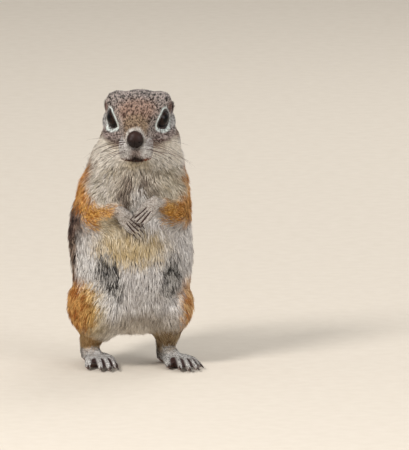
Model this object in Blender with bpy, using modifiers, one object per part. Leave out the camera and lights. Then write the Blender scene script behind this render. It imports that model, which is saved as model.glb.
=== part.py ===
# A life-size antelope ground squirrel, standing upright on its hind feet with its forepaws
# clasped at the chest. Every solid is drawn out to the tips of the coat.
# The animal faces -Y, its own left side is +X, up is +Z and it stands on Z = 0.

import itertools
import math

import bmesh
import bpy
from mathutils import Matrix, Vector

# Driving dimensions, in millimetres and degrees.
MM = 0.001
GAP = 0.3  # clear space between neighbouring solids
HULL_SLACK = 1.1  # a faceted hull is a little slimmer than the balls in it
ROOM = 0.8  # clear space kept round the feet and the hands, where the body comes near them

PELVIS_YAW = 18.0  # the hips are turned towards the animal's left, the chest less ...
HEAD_YAW = -4.0  # ... and the head looks back the other way
HEAD_PITCH = 10.0
HEAD_CENTRE = (3.0, -11.0, 108.4)  # midway between the eyes

EYE_RADIUS = 4.3
EYE_SPREAD = 10.0  # middle of the head to the middle of an eye
NOSE_RADII = (3.5, 2.5, 3.7)
NOSE_PLACE = (0.0, -16.6, -4.6)
EAR_RADII = (1.8, 3.6, 4.3)
EAR_HOLLOW = (1.4, 2.6, 3.3)
EAR_HOLLOW_OFFSET = (1.5, -0.9, 0.3)
EAR_PLACE = (13.3, 12.4, 0.9)
EAR_TURN = -24.0
ORBIT_RADIUS = 4.8  # the hollow that leaves the front of the eye clear
ORBIT_PLACE = (12.4, -2.2, 0.4)

HEELS = {"right": (-19.4, 11.0), "left": (12.8, 9.5)}
FOOT_YAWS = {"right": 15.5, "left": 21.0}
ANKLE_HEIGHT = 7.6
TOE_RADIUS = 1.75
FINGER_RADIUS = 1.15
CLAW_RADIUS = 0.62
CLAW_ROOT = 0.9  # how far a claw starts inside its toe
TOE_HEIGHTS = (3.6, 3.5, 1.75)  # root, knuckle and tip of a hind toe, above the floor

WRISTS = {"right": (-5.6, -24.8, 70.3), "left": (12.0, -25.2, 75.2)}
FINGERTIPS = {"right": (3.6, -26.2, 61.3), "left": (2.6, -29.4, 65.9)}
ELBOWS = {"right": (-19.6, -12.6, 63.5), "left": (20.6, -10.4, 66.0)}
SHOULDERS = {"right": (-14.4, -6.0, 78.5), "left": (17.0, -3.6, 81.0)}

# How finely each shape is remeshed, and the triangles that it may keep.
BODY_VOXEL, BODY_TRIANGLES, HEAD_TRIANGLES = 0.8, 2300, 3900
FOOT_VOXEL, FOOT_TRIANGLES = 0.42, 290
HAND_VOXEL, HAND_TRIANGLES = 0.3, 220
EAR_TRIANGLES = 150

SIDES = {"left": 1, "right": -1}

# name: base colour, roughness
FINISHES = {
    "coat": ((0.42, 0.30, 0.20), 0.9),
    "belly_coat": ((0.78, 0.75, 0.70), 0.9),
    "paw_coat": ((0.66, 0.62, 0.56), 0.85),
    "eye": ((0.01, 0.008, 0.007), 0.08),
    "nose": ((0.05, 0.03, 0.03), 0.45),
    "claw": ((0.03, 0.025, 0.022), 0.4),
}

# The torso from the crotch to the throat, as level slices of a rounded body: height, middle
# (sideways, backwards), half-width, half-depth and how far the slice is turned.
TORSO_STEPS = (
    (19.0, -0.6, 1.0, 17.5, 15.5, 18),
    (27.0, -0.4, 0.8, 23.8, 21.8, 18),
    (37.0, 0.4, 0.0, 26.0, 23.8, 17),
    (48.0, 0.2, -0.2, 27.2, 23.4, 15),
    (58.0, -0.6, -0.4, 27.4, 22.4, 13),
    (68.0, -0.4, -0.9, 26.2, 20.8, 11),
    (76.0, 0.8, -0.8, 24.0, 19.0, 8),
    (83.0, 2.0, -0.4, 22.0, 17.0, 4),
    (89.0, 2.6, 0.4, 20.8, 15.2, 0),
    (94.0, 2.9, 0.8, 18.6, 13.0, -4),
)
SLICE_HALF_HEIGHT = 6.0

# Haunch, given on the left side and repeated on the right: middle and half-sizes.
HAUNCH = ((14.6, -1, 26.5), (13.0, 20, 16))

# Masses of the head, in its own frame: middle and half-sizes. Paired ones are given on the left.
HEAD_MASSES = {
    "cranium": ((0, 7.5, 0.4), (13.2, 14.5, 9.5)),
    "forehead": ((0, -3, 1.2), (9.0, 9.0, 6.4)),
}
PAIRED_HEAD_MASSES = {
    "crown": ((8.0, 5.5, 2.3), (6.8, 11.0, 7.7)),
    "temple": ((9.4, 7.0, -3.5), (7.0, 8.5, 6.8)),
    "brow": ((8.0, 1, 4.0), (4.9, 6.5, 3.8)),
    "cheek": ((8.0, 3.5, -7.2), (7.8, 10.0, 6.6)),
    "jowl": ((8.4, 9.0, -13.0), (9.0, 11.5, 9.5)),
    "whisker_pad": ((3.5, -11.6, -8.6), (4.5, 5.6, 4.6)),
    "ear_root": ((10.6, 14.0, 0.0), (3.4, 4.5, 5.0)),
}
# Tapered lengths: start, end and the half-thickness at each.
HEAD_LENGTHS = {
    "muzzle": ((0, -1, -1.6), (0, -12.6, -5.4), 8.8, 5.2),
    "jaw": ((0, 4, -11.5), (0, -9.0, -12.6), 6.0, 3.5),
    "throat": ((0, 5, -12.0), (0, 11.0, -20.0), 11.0, 14.0),
}

# The tail leaves the rump, rises behind the back and curls away at its tip. Distance behind
# the pelvis, height, half-width and half-depth.
TAIL_STEPS = (
    (13.0, 19.0, 6.0, 5.0),
    (23.0, 18.5, 6.2, 4.6),
    (29.5, 25.0, 7.6, 4.3),
    (31.6, 37.0, 9.2, 4.2),
    (31.2, 50.0, 10.0, 4.2),
    (31.0, 63.0, 9.6, 4.0),
    (34.0, 74.0, 7.6, 3.5),
    (38.5, 80.0, 4.0, 2.4),
)

# Hind toes: sideways (outwards is +) and forwards of the heel at the root, the knuckle and
# the tip.
HIND_TOES = {
    "1": ((-3.6, 16.0), (-5.2, 21.0), (-6.0, 25.0)),
    "2": ((-2.6, 22.0), (-3.6, 28.5), (-4.2, 33.4)),
    "3": ((-0.6, 23.0), (-0.7, 30.0), (-0.7, 35.4)),
    "4": ((1.8, 23.0), (2.6, 29.5), (3.0, 34.6)),
    "5": ((3.4, 18.0), (5.4, 23.5), (6.8, 28.4)),
}
# Fingers: sideways across the paw at the root and at the tip, and length against the longest.
FINGERS = {
    "2": (-2.4, -2.7, 0.88),
    "3": (-0.8, -0.9, 1.0),
    "4": (0.8, 0.9, 0.98),
    "5": (2.4, 2.7, 0.84),
}


def clear_scene():
    for old in list(bpy.data.objects):
        bpy.data.objects.remove(old, do_unlink=True)


def new_collection(name):
    made = bpy.data.collections.new(name)
    bpy.context.scene.collection.children.link(made)
    return made


def finish(name):
    """The material of one finish, made once."""
    if name in bpy.data.materials:
        return bpy.data.materials[name]
    colour, roughness = FINISHES[name]
    material = bpy.data.materials.new(name)
    material.use_nodes = True
    shader = material.node_tree.nodes["Principled BSDF"]
    shader.inputs["Base Color"].default_value = (*colour, 1.0)
    shader.inputs["Roughness"].default_value = roughness
    shader.inputs["Metallic"].default_value = 0.0
    return material


def placed(origin, yaw=0.0, pitch=0.0):
    """A frame whose X points to the animal's left, Y backwards and Z up."""
    turn = Matrix.Rotation(math.radians(yaw), 4, "Z") @ Matrix.Rotation(math.radians(pitch), 4, "X")
    return Matrix.Translation(Vector(origin)) @ turn


FRAMES = {
    "pelvis": placed((-0.6, 0, 0), PELVIS_YAW),
    "head": placed(HEAD_CENTRE, HEAD_YAW, HEAD_PITCH),
}


def mirrored(point, side):
    return Vector((point[0] * SIDES[side], point[1], point[2]))


def egg(middle, radii, at=Matrix()):
    """The matrix that turns a ball of radius 1 into an ellipsoid, in millimetres."""
    return at @ Matrix.Translation(Vector(middle)) @ Matrix.Diagonal((*radii, 1.0))


def ball(middle, radii, at=Matrix(), fineness=3):
    """An ellipsoid as a bmesh, in metres."""
    shape = bmesh.new()
    move = Matrix.Scale(MM, 4) @ egg(middle, radii, at)
    bmesh.ops.create_icosphere(shape, subdivisions=fineness, radius=1.0, matrix=move)
    return shape


def round_at(middle, radius):
    return egg(middle, (radius, radius, radius))


def hull(eggs, fineness=2):
    """The tightest convex skin round some ellipsoids, in metres."""
    shape = bmesh.new()
    for matrix in eggs:
        move = Matrix.Scale(MM, 4) @ matrix
        bmesh.ops.create_icosphere(shape, subdivisions=fineness, radius=1.0, matrix=move)
    bmesh.ops.delete(shape, geom=shape.faces[:], context="FACES_ONLY")
    bmesh.ops.delete(shape, geom=shape.edges[:], context="EDGES_FACES")
    made = bmesh.ops.convex_hull(shape, input=shape.verts[:])
    spare = made["geom_interior"] + made["geom_unused"]
    spare = {item for item in spare if isinstance(item, bmesh.types.BMVert)}
    bmesh.ops.delete(shape, geom=list(spare), context="VERTS")
    bmesh.ops.recalc_face_normals(shape, faces=shape.faces[:])
    return shape


def block(middle, sizes, at=Matrix()):
    """A box as a bmesh, in metres."""
    shape = bmesh.new()
    size = Matrix.Diagonal((*sizes, 1.0))
    bmesh.ops.create_cube(
        shape, size=1.0, matrix=Matrix.Scale(MM, 4) @ at @ Matrix.Translation(Vector(middle)) @ size
    )
    return shape


def facing(point, normal):
    """A frame at a point whose Z lies along a direction."""
    return Matrix.Translation(Vector(point)) @ Vector(normal).to_track_quat("Z", "Y").to_matrix().to_4x4()


def beyond(point, normal, gap=0.0, reach=200.0):
    """A large box that holds all that lies past a plane."""
    return block((0, 0, reach / 2 - gap), (reach, reach, reach), facing(point, normal))


def object_of(name, shapes, collection):
    """One object of several bmeshes, which are used up."""
    joined = bmesh.new()
    for shape in shapes:
        spare = bpy.data.meshes.new("spare")
        shape.to_mesh(spare)
        shape.free()
        joined.from_mesh(spare)
        bpy.data.meshes.remove(spare)
    mesh = bpy.data.meshes.new(name)
    joined.to_mesh(mesh)
    joined.free()
    obj = bpy.data.objects.new(name, mesh)
    collection.objects.link(obj)
    return obj


def settle(obj):
    """Applies the modifiers of an object."""
    graph = bpy.context.evaluated_depsgraph_get()
    mesh = bpy.data.meshes.new_from_object(obj.evaluated_get(graph))
    obj.modifiers.clear()
    old = obj.data
    obj.data = mesh
    mesh.name = obj.name
    bpy.data.meshes.remove(old)


def triangles(obj):
    return sum(len(face.vertices) - 2 for face in obj.data.polygons)


def fuse(obj, voxel, rounds):
    """Grows overlapping masses together into one smooth skin."""
    remesh = obj.modifiers.new("fuse", "REMESH")
    remesh.mode = "VOXEL"
    remesh.voxel_size = voxel * MM
    smooth = obj.modifiers.new("smooth", "SMOOTH")
    smooth.factor = 0.5
    smooth.iterations = rounds
    settle(obj)


def thin_out(obj, target):
    fewer = obj.modifiers.new("thin_out", "DECIMATE")
    fewer.ratio = min(1.0, target / triangles(obj))
    settle(obj)


def copy_of(obj, name, collection):
    twin = bpy.data.objects.new(name, obj.data.copy())
    collection.objects.link(twin)
    return twin


def keep_largest(obj):
    """Drops the loose crumbs that a cut leaves."""
    shape = bmesh.new()
    shape.from_mesh(obj.data)
    waiting = set(shape.verts)
    islands = []
    while waiting:
        island = {waiting.pop()}
        edge = list(island)
        while edge:
            vertex = edge.pop()
            for link in vertex.link_edges:
                other = link.other_vert(vertex)
                if other in waiting:
                    waiting.discard(other)
                    island.add(other)
                    edge.append(other)
        islands.append(island)
    islands.sort(key=len)
    spare = [vertex for island in islands[:-1] for vertex in island]
    bmesh.ops.delete(shape, geom=spare, context="VERTS")
    shape.to_mesh(obj.data)
    shape.free()


class Workshop:
    """Cuts named nodes out of larger shapes, with a clear gap round each."""

    def __init__(self, parts, cutters):
        self.parts = parts
        self.cutters = cutters

    def cutter(self, name, shape):
        obj = object_of(name, [shape], self.cutters)
        obj.hide_render = True
        obj.display_type = "WIRE"
        return obj

    def boolean(self, obj, cutter, operation):
        step = obj.modifiers.new("cut", "BOOLEAN")
        step.operation = operation
        step.solver = "EXACT"
        step.object = cutter
        settle(obj)

    def take(self, source, name, region):
        """The part of the source inside a region. The source itself is left whole."""
        piece = copy_of(source, name, self.parts)
        self.boolean(piece, self.cutter(name + "_region", region), "INTERSECT")
        keep_largest(piece)
        return piece

    def clear(self, source, name, region):
        """Cuts the region, which is drawn a gap larger, from the source."""
        self.boolean(source, self.cutter(name + "_clearance", region), "DIFFERENCE")
        keep_largest(source)


def torso_shapes():
    """The torso as a chain of slices, each joined to the next by their hull."""
    slices = []
    for height, sideways, back, half_width, half_depth, turn in TORSO_STEPS:
        at = placed((sideways, 0, 0), turn)
        slices.append(egg((0, back, height), (half_width, half_depth, SLICE_HALF_HEIGHT), at))
    return [hull(pair, 3) for pair in zip(slices, slices[1:])]


def body_shapes():
    """All the masses of the body, head, upper limbs and tail, before they grow together."""
    shapes = torso_shapes() + tail_shapes()
    head = FRAMES["head"]
    middle, radii = HAUNCH
    for side in SIDES:
        shapes.append(ball(mirrored(middle, side), radii, FRAMES["pelvis"]))
        for middle_of, radii_of in PAIRED_HEAD_MASSES.values():
            shapes.append(ball(mirrored(middle_of, side), radii_of, head))
        for start, end, thick, thin in limb_lengths(side):
            shapes.append(hull([round_at(start, thick), round_at(end, thin)]))
    shapes += [ball(middle_of, radii_of, head) for middle_of, radii_of in HEAD_MASSES.values()]
    for start, end, thick, thin in HEAD_LENGTHS.values():
        shapes.append(hull([round_at(head @ Vector(start), thick), round_at(head @ Vector(end), thin)]))
    return shapes


def limb_lengths(side):
    """Upper arm, forearm and shank: start, end and the half-thickness at each."""
    return (
        (SHOULDERS[side], ELBOWS[side], 8.0, 6.3),
        (ELBOWS[side], WRISTS[side], 5.8, 3.2),
        (knee(side), ankle(side), 8.0, 4.8),
    )


def tail_shapes():
    """The tail as a chain of flattened lengths."""
    shapes = []
    for near, far in zip(TAIL_STEPS, TAIL_STEPS[1:]):
        balls = []
        for back, height, half_width, half_depth in (near, far):
            for sideways in (-1, 0, 1):
                middle = (sideways * (half_width - half_depth), back, height)
                balls.append(round_at(FRAMES["pelvis"] @ Vector(middle), half_depth))
        shapes.append(hull(balls))
    return shapes


def foot_frame(side):
    return placed((*HEELS[side], 0.0), FOOT_YAWS[side])


def ankle(side):
    return foot_frame(side) @ Vector((0, -6.0, ANKLE_HEIGHT + 2.0))


def knee(side):
    return FRAMES["pelvis"] @ mirrored((16.5, -7.0, 23.0), side)


def toe_points(side, toe):
    """Root, knuckle and tip of a hind toe."""
    points = []
    for (sideways, forwards), height in zip(HIND_TOES[toe], TOE_HEIGHTS):
        points.append(foot_frame(side) @ Vector((sideways * SIDES[side], -forwards, height)))
    return points


def foot_balls(side):
    """The lengths of a hind foot: each is a list of balls."""
    frame = foot_frame(side)
    lengths = [
        [((0, -3.6, 3.0), 3.3), ((0.4, -20.0, 2.8), 3.1)],
        [((0, -14.0, 2.6), 3.0), ((-2.6, -21.5, 2.6), 2.8)],
        [((0, -14.0, 2.6), 3.0), ((2.8, -20.5, 2.6), 2.8)],
        [((0, -5.0, 4.0), 3.9), ((0, -6.0, ANKLE_HEIGHT + 2.0), 4.4)],
        [((0, -6.0, 6.8), 4.0), ((0, -17.0, 3.4), 3.2)],
    ]
    placed_lengths = []
    for length in lengths:
        placed_lengths.append([(frame @ mirrored(point, side), radius) for point, radius in length])
    for toe in HIND_TOES:
        root, knuckle, tip = toe_points(side, toe)
        thin = TOE_RADIUS * 0.86
        placed_lengths.append([(root, TOE_RADIUS + 0.3), (knuckle, TOE_RADIUS)])
        placed_lengths.append([(knuckle, TOE_RADIUS), (tip, thin)])
    return placed_lengths


def hand_frame(side):
    """A frame at the wrist: Z runs to the fingertips and X across the paw."""
    wrist = Vector(WRISTS[side])
    along = (Vector(FINGERTIPS[side]) - wrist).normalized()
    across = along.cross(Vector((0, 1, 0))).normalized()
    out = along.cross(across)
    turn = Matrix((across, out, along)).transposed().to_4x4()
    return Matrix.Translation(wrist) @ turn


def finger_points(side, finger):
    """Root, knuckle and tip of a finger. The knuckles stand a little proud of the paw."""
    root_across, tip_across, share = FINGERS[finger]
    reach = (Vector(FINGERTIPS[side]) - Vector(WRISTS[side])).length
    frame = hand_frame(side)
    bulge = -0.7 if frame.col[1].y > 0 else 0.7
    return (
        frame @ Vector((root_across, 0, 4.4)),
        frame @ Vector((tip_across, bulge, 4.4 + (reach - 4.4) * share * 0.55)),
        frame @ Vector((tip_across, 0, 4.4 + (reach - 4.4) * share)),
    )


def hand_balls(side):
    """The palm and the fingers of a forepaw, as lengths: each is a list of balls."""
    frame = hand_frame(side)
    palm = [((0, 0, -2.0), 2.5), ((0, 0, 3.6), 2.2), ((1.7, 0, 4.0), 1.7), ((-1.7, 0, 4.0), 1.7)]
    lengths = [[(frame @ Vector(point), radius) for point, radius in palm]]
    for finger in FINGERS:
        root, knuckle, tip = finger_points(side, finger)
        lengths.append([(root, FINGER_RADIUS + 0.15), (knuckle, FINGER_RADIUS)])
        lengths.append([(knuckle, FINGER_RADIUS), (tip, FINGER_RADIUS * 0.84)])
    return lengths


def everything(lengths):
    return [item for length in lengths for item in length]


def extremity(shop, name, balls_of, side, joint, towards, voxel, target):
    """A foot or a hand, cut square across the joint where the limb meets it."""
    lengths = [[round_at(*item) for item in length] for length in balls_of(side)]
    whole = object_of(name, [hull(length) for length in lengths], shop.parts)
    fuse(whole, voxel, 4)
    thin_out(whole, target)
    shop.boolean(whole, shop.cutter(name + "_joint", beyond(joint, towards)), "INTERSECT")
    return whole


def region_past(shop, name, balls, joint, towards):
    """The convex space that an extremity fills, past its joint, with a little room round it."""
    eggs = [round_at(point, radius + ROOM) for point, radius in balls]
    region = shop.cutter(name, hull(eggs, 1))
    shop.boolean(region, shop.cutter(name + "_end", beyond(joint, towards, GAP)), "INTERSECT")
    return region


def claw(name, tip, heading, length, droop, shop):
    """A curved, tapering claw that starts inside the end of its toe."""
    rings = 3
    sides = 5
    forward = Vector(heading).normalized()
    aside = Vector((0, 0, 1)).cross(forward).normalized()
    upward = forward.cross(aside)
    shape = bmesh.new()
    bmesh.ops.create_cone(
        shape, cap_ends=True, segments=sides, radius1=1.0, radius2=1.0, depth=1.0,
        matrix=Matrix.Translation((0, 0, 0.5)),
    )
    lengthwise = [edge for edge in shape.edges if abs(edge.verts[0].co.z - edge.verts[1].co.z) > 0.5]
    bmesh.ops.subdivide_edges(shape, edges=lengthwise, cuts=rings - 1)
    for vertex in shape.verts:
        along = vertex.co.z
        thickness = CLAW_RADIUS * (1.0 - 0.86 * along**1.4)
        reach = along * (length + CLAW_ROOT) - CLAW_ROOT
        drop = droop * along**2
        centre = Vector(tip) + forward * reach - Vector((0, 0, drop))
        offset = aside * (vertex.co.x * thickness * 0.8) + upward * (vertex.co.y * thickness)
        vertex.co = (centre + offset) * MM
    return object_of(name, [shape], shop.parts)


def claw_room(tip, heading, length):
    """The room that a claw's root takes in its toe."""
    forward = Vector(heading).normalized()
    start = Vector(tip) - forward * CLAW_ROOT
    shape = bmesh.new()
    depth = (length + CLAW_ROOT + GAP) * MM
    radius = (CLAW_RADIUS * 1.12 + GAP) * MM
    at = facing((start - forward * GAP) * MM, forward) @ Matrix.Translation((0, 0, depth / 2))
    bmesh.ops.create_cone(
        shape, cap_ends=True, segments=6, radius1=radius, radius2=radius, depth=depth, matrix=at
    )
    return shape


def make_feet(shop):
    for side in SIDES:
        joint = foot_frame(side) @ Vector((0, -6.0, ANKLE_HEIGHT))
        name = "foot_" + side
        foot = extremity(shop, name, foot_balls, side, joint, (0, 0, -1), FOOT_VOXEL, FOOT_TRIANGLES)
        floor = block((0, 0, -50), (200, 200, 100))
        shop.boolean(foot, shop.cutter(name + "_floor", floor), "DIFFERENCE")
        for toe in HIND_TOES:
            _, knuckle, tip = toe_points(side, toe)
            heading = Vector((tip.x - knuckle.x, tip.y - knuckle.y, 0.0)).normalized()
            end = tip + heading * TOE_RADIUS * 0.6 + Vector((0, 0, 0.1))
            shop.clear(foot, name + "_claw_" + toe, claw_room(end, heading, 1.5))
            claw(f"hind_claw_{side}_{toe}", end, heading, 2.2, 0.95, shop)
        keep_largest(foot)


def make_hands(shop):
    for side in SIDES:
        name = "hand_" + side
        wrist = Vector(WRISTS[side])
        towards = Vector(FINGERTIPS[side]) - wrist
        hand = extremity(shop, name, hand_balls, side, wrist, towards, HAND_VOXEL, HAND_TRIANGLES)
        for finger in FINGERS:
            _, knuckle, tip = finger_points(side, finger)
            heading = (tip - knuckle).normalized()
            end = tip + heading * FINGER_RADIUS * 0.5
            shop.clear(hand, name + "_claw_" + finger, claw_room(end, heading, 1.2))
            claw(f"fore_claw_{side}_{finger}", end, heading, 1.9, 0.5, shop)
        keep_largest(hand)


def make_eyes(shop):
    """Round eyes, set back so that about a third of each stands out between the lids."""
    for side in SIDES:
        middle = mirrored((EYE_SPREAD, 0, 0), side)
        shape = bmesh.new()
        bmesh.ops.create_uvsphere(
            shape, u_segments=12, v_segments=8, radius=EYE_RADIUS,
            matrix=Matrix.Scale(MM, 4) @ FRAMES["head"] @ Matrix.Translation(middle),
        )
        object_of("eye_" + side, [shape], shop.parts)


def make_ears(shop):
    """Small round ears, each a shallow cup that lies against the head and opens forwards."""
    for side in SIDES:
        lean = Matrix.Rotation(math.radians(EAR_TURN * SIDES[side]), 4, "Z")
        at = FRAMES["head"] @ Matrix.Translation(mirrored(EAR_PLACE, side)) @ lean
        ear = object_of("ear_" + side, [ball((0, 0, 0), EAR_RADII, at, 3)], shop.parts)
        hollow = ball(mirrored(EAR_HOLLOW_OFFSET, side), EAR_HOLLOW, at, 2)
        shop.boolean(ear, shop.cutter("ear_hollow_" + side, hollow), "DIFFERENCE")
        thin_out(ear, EAR_TRIANGLES)


def carve_head(shop, head):
    """Makes room in the head for the eyes, the ears and the nose."""
    frame = FRAMES["head"]
    for side in SIDES:
        room = ball(mirrored((EYE_SPREAD, 0, 0), side), (EYE_RADIUS + GAP,) * 3, frame, 2)
        shop.clear(head, "eye_" + side, room)
        orbit = ball(mirrored(ORBIT_PLACE, side), (ORBIT_RADIUS,) * 3, frame, 2)
        shop.clear(head, "orbit_" + side, orbit)
        lean = Matrix.Rotation(math.radians(EAR_TURN * SIDES[side]), 4, "Z")
        at = frame @ Matrix.Translation(mirrored(EAR_PLACE, side)) @ lean
        shop.clear(head, "ear_" + side, ball((0, 0, 0), [r + GAP for r in EAR_RADII], at, 2))
    shop.clear(head, "nose", ball(NOSE_PLACE, [r + GAP for r in NOSE_RADII], frame, 2))


def make_nose(shop):
    object_of("nose", [ball(NOSE_PLACE, NOSE_RADII, FRAMES["head"], 2)], shop.parts)


def limb_regions():
    """Each limb part as balls whose hull it is cut out with, in the order of cutting."""
    pelvis = FRAMES["pelvis"]
    regions = {}
    for side in SIDES:
        low = ankle(side)
        regions["shank_" + side] = [(low, 6.6), (low.lerp(knee(side), 0.42), 8.0)]
        elbow = Vector(ELBOWS[side])
        wrist = Vector(WRISTS[side])
        regions["forearm_" + side] = [(elbow.lerp(wrist, 0.25), 7.4), (wrist, 5.6)]
        regions["upper_arm_" + side] = [(Vector(SHOULDERS[side]) - Vector((0, 0, 1.5)), 10.4), (elbow, 9.0)]
        corners = []
        for sideways, back, height in itertools.product((20.0, 34.0), (-20.0, 18.0), (18.0, 33.0)):
            corners.append((pelvis @ mirrored((sideways, back, height), side), 8.0))
        regions["thigh_" + side] = corners
    return regions


def make_body(shop):
    """The head, neck, trunk, limbs and tail, all cut from one whole body."""
    whole = object_of("trunk", body_shapes(), shop.parts)
    fuse(whole, BODY_VOXEL, 10)
    fine = copy_of(whole, "fine_body", shop.parts)
    thin_out(fine, HEAD_TRIANGLES)
    thin_out(whole, BODY_TRIANGLES)

    head_frame = FRAMES["head"]
    neck_top = head_frame @ Vector((0, 0, -18.4))
    neck_lean = head_frame.to_3x3() @ Vector((0, 0.06, 1.0))
    head = shop.take(fine, "head", beyond(neck_top, neck_lean))
    shop.clear(whole, "head", beyond(neck_top, neck_lean, GAP))
    bpy.data.objects.remove(fine, do_unlink=True)
    carve_head(shop, head)

    neck_base = (2.0, 2.0, 81.0)
    neck_tilt = (0.0, -0.2, 0.98)
    shop.take(whole, "neck", beyond(neck_base, neck_tilt))
    shop.clear(whole, "neck", beyond(neck_base, neck_tilt, GAP))

    cut_tail(shop, whole)
    for side in SIDES:
        ankle_cut = foot_frame(side) @ Vector((0, -6.0, ANKLE_HEIGHT))
        balls = everything(foot_balls(side))
        foot = region_past(shop, "foot_space_" + side, balls, ankle_cut, (0, 0, -1))
        shop.boolean(whole, foot, "DIFFERENCE")
        wrist = Vector(WRISTS[side])
        towards = Vector(FINGERTIPS[side]) - wrist
        balls = everything(hand_balls(side))
        hand = region_past(shop, "hand_space_" + side, balls, wrist, towards)
        shop.boolean(whole, hand, "DIFFERENCE")
    keep_largest(whole)
    for name, balls in limb_regions().items():
        fineness = 2 if name.startswith("thigh") else 1
        wider = [round_at(middle, radius + GAP * HULL_SLACK) for middle, radius in balls]
        shop.take(whole, name, hull([round_at(*item) for item in balls], fineness))
        shop.clear(whole, name, hull(wider, fineness))


def cut_tail(shop, whole):
    """Cuts the tail off behind the rump and divides it into three lengths."""
    pelvis = FRAMES["pelvis"]
    root = pelvis @ Vector((0, 20.8, 12.0))
    lean = pelvis.to_3x3() @ Vector((0, 1.0, -0.2))
    tail = shop.take(whole, "tail_base", beyond(root, lean))
    shop.clear(whole, "tail", beyond(root, lean, GAP))
    for name, height in (("tail_middle", 32.0), ("tail_tip", 57.0)):
        level = (0, 0, height)
        upper = shop.take(tail, name, beyond(level, (0, 0, 1)))
        shop.clear(tail, name, beyond(level, (0, 0, 1), GAP))
        tail = upper


def colour(parts):
    """Gives each node its finish."""
    for obj in parts.objects:
        kind = "coat"
        if "claw" in obj.name:
            kind = "claw"
        elif obj.name.startswith(("eye", "nose")):
            kind = obj.name.split("_")[0]
        elif obj.name.startswith(("foot", "hand")):
            kind = "paw_coat"
        elif obj.name in ("trunk", "neck"):
            kind = "belly_coat"
        obj.data.materials.clear()
        obj.data.materials.append(finish(kind))
        obj.data.shade_smooth()
        obj.data.set_sharp_from_angle(angle=math.radians(50))


def stand_on_origin(parts):
    """Hangs every node on one empty, which brings the middle of the object's base to the origin."""
    corners = [vertex.co for obj in parts.objects for vertex in obj.data.vertices]
    low = Vector([min(c[axis] for c in corners) for axis in range(3)])
    high = Vector([max(c[axis] for c in corners) for axis in range(3)])
    base = bpy.data.objects.new("base_middle", None)
    base.location = (-(low.x + high.x) / 2, -(low.y + high.y) / 2, -low.z)
    bpy.context.scene.collection.objects.link(base)
    for obj in parts.objects:
        obj.parent = base


def main():
    clear_scene()
    parts = new_collection("antelope_ground_squirrel")
    shop = Workshop(parts, new_collection("cutters"))
    make_body(shop)
    make_feet(shop)
    make_hands(shop)
    make_eyes(shop)
    make_ears(shop)
    make_nose(shop)
    colour(parts)
    stand_on_origin(parts)


main()
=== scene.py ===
# A life-size antelope ground squirrel, standing upright with its forepaws clasped at the chest.
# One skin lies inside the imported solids, and a coat of fine tufts grows from it to their outline.
import itertools
import math

import bpy
import numpy as np
from mathutils import Matrix, Vector, noise
from mathutils.bvhtree import BVHTree
from mathutils.kdtree import KDTree


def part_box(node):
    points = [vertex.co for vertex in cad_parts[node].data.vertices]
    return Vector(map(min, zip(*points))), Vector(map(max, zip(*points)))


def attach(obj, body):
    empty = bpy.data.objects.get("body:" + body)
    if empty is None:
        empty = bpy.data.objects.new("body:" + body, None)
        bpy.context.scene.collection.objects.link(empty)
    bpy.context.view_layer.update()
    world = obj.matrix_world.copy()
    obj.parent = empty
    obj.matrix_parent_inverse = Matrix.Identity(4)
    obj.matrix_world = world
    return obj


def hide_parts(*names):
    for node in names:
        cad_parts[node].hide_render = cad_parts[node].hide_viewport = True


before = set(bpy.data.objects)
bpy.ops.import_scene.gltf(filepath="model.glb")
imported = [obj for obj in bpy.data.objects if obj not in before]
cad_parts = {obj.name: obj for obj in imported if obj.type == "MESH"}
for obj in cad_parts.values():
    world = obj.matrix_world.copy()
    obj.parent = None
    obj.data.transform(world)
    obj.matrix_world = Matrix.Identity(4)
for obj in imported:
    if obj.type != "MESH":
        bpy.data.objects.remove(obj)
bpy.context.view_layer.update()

mm = 0.001
sides = {"left": 1, "right": -1}
print("frame loaded:", len(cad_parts), "nodes")


# small helpers
def selectOnly(*pieces):
    bpy.ops.object.select_all(action="DESELECT")
    for piece in pieces:
        piece.select_set(True)
    bpy.context.view_layer.objects.active = pieces[0]


def applyModifier(piece, kind, **settings):
    selectOnly(piece)
    step = piece.modifiers.new(kind.lower(), kind)
    for key, value in settings.items():
        setattr(step, key, value)
    bpy.ops.object.modifier_apply(modifier=step.name)


def settle(piece):
    # the place goes into the mesh, so that the object sits at the origin
    selectOnly(piece)
    bpy.ops.object.transform_apply(location=True, rotation=True, scale=True)


def nameBoth(piece, name):
    piece.name = piece.data.name = name


def inScene(name, data):
    piece = bpy.data.objects.new(name, data)
    bpy.context.scene.collection.objects.link(piece)
    nameBoth(piece, name)
    return piece


def editWhole(piece):
    selectOnly(piece)
    bpy.ops.object.mode_set(mode="EDIT")
    bpy.ops.mesh.select_all(action="SELECT")


def faceOutwards(piece):
    editWhole(piece)
    bpy.ops.mesh.normals_make_consistent(inside=False)
    bpy.ops.object.mode_set(mode="OBJECT")


def readAll(items, key, width, kind=np.float32):
    found = np.empty(len(items) * width, kind)
    items.foreach_get(key, found)
    return found.reshape(-1, width)


def pointsOf(mesh):
    return readAll(mesh.vertices, "co", 3).astype(float)


def normalsOf(mesh):
    return readAll(mesh.vertex_normals, "vector", 3).astype(float)


def edgesOf(mesh):
    return readAll(mesh.edges, "vertices", 2, np.int32)


def movePoints(mesh, places):
    mesh.vertices.foreach_set("co", places.astype(np.float32).ravel())
    mesh.update()


def addAttribute(mesh, name, values):
    kind, key = ("FLOAT_VECTOR", "vector") if values.ndim > 1 else ("FLOAT", "value")
    mesh.attributes.new(name, kind, "POINT").data.foreach_set(key, values.astype(np.float32).ravel())


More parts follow.
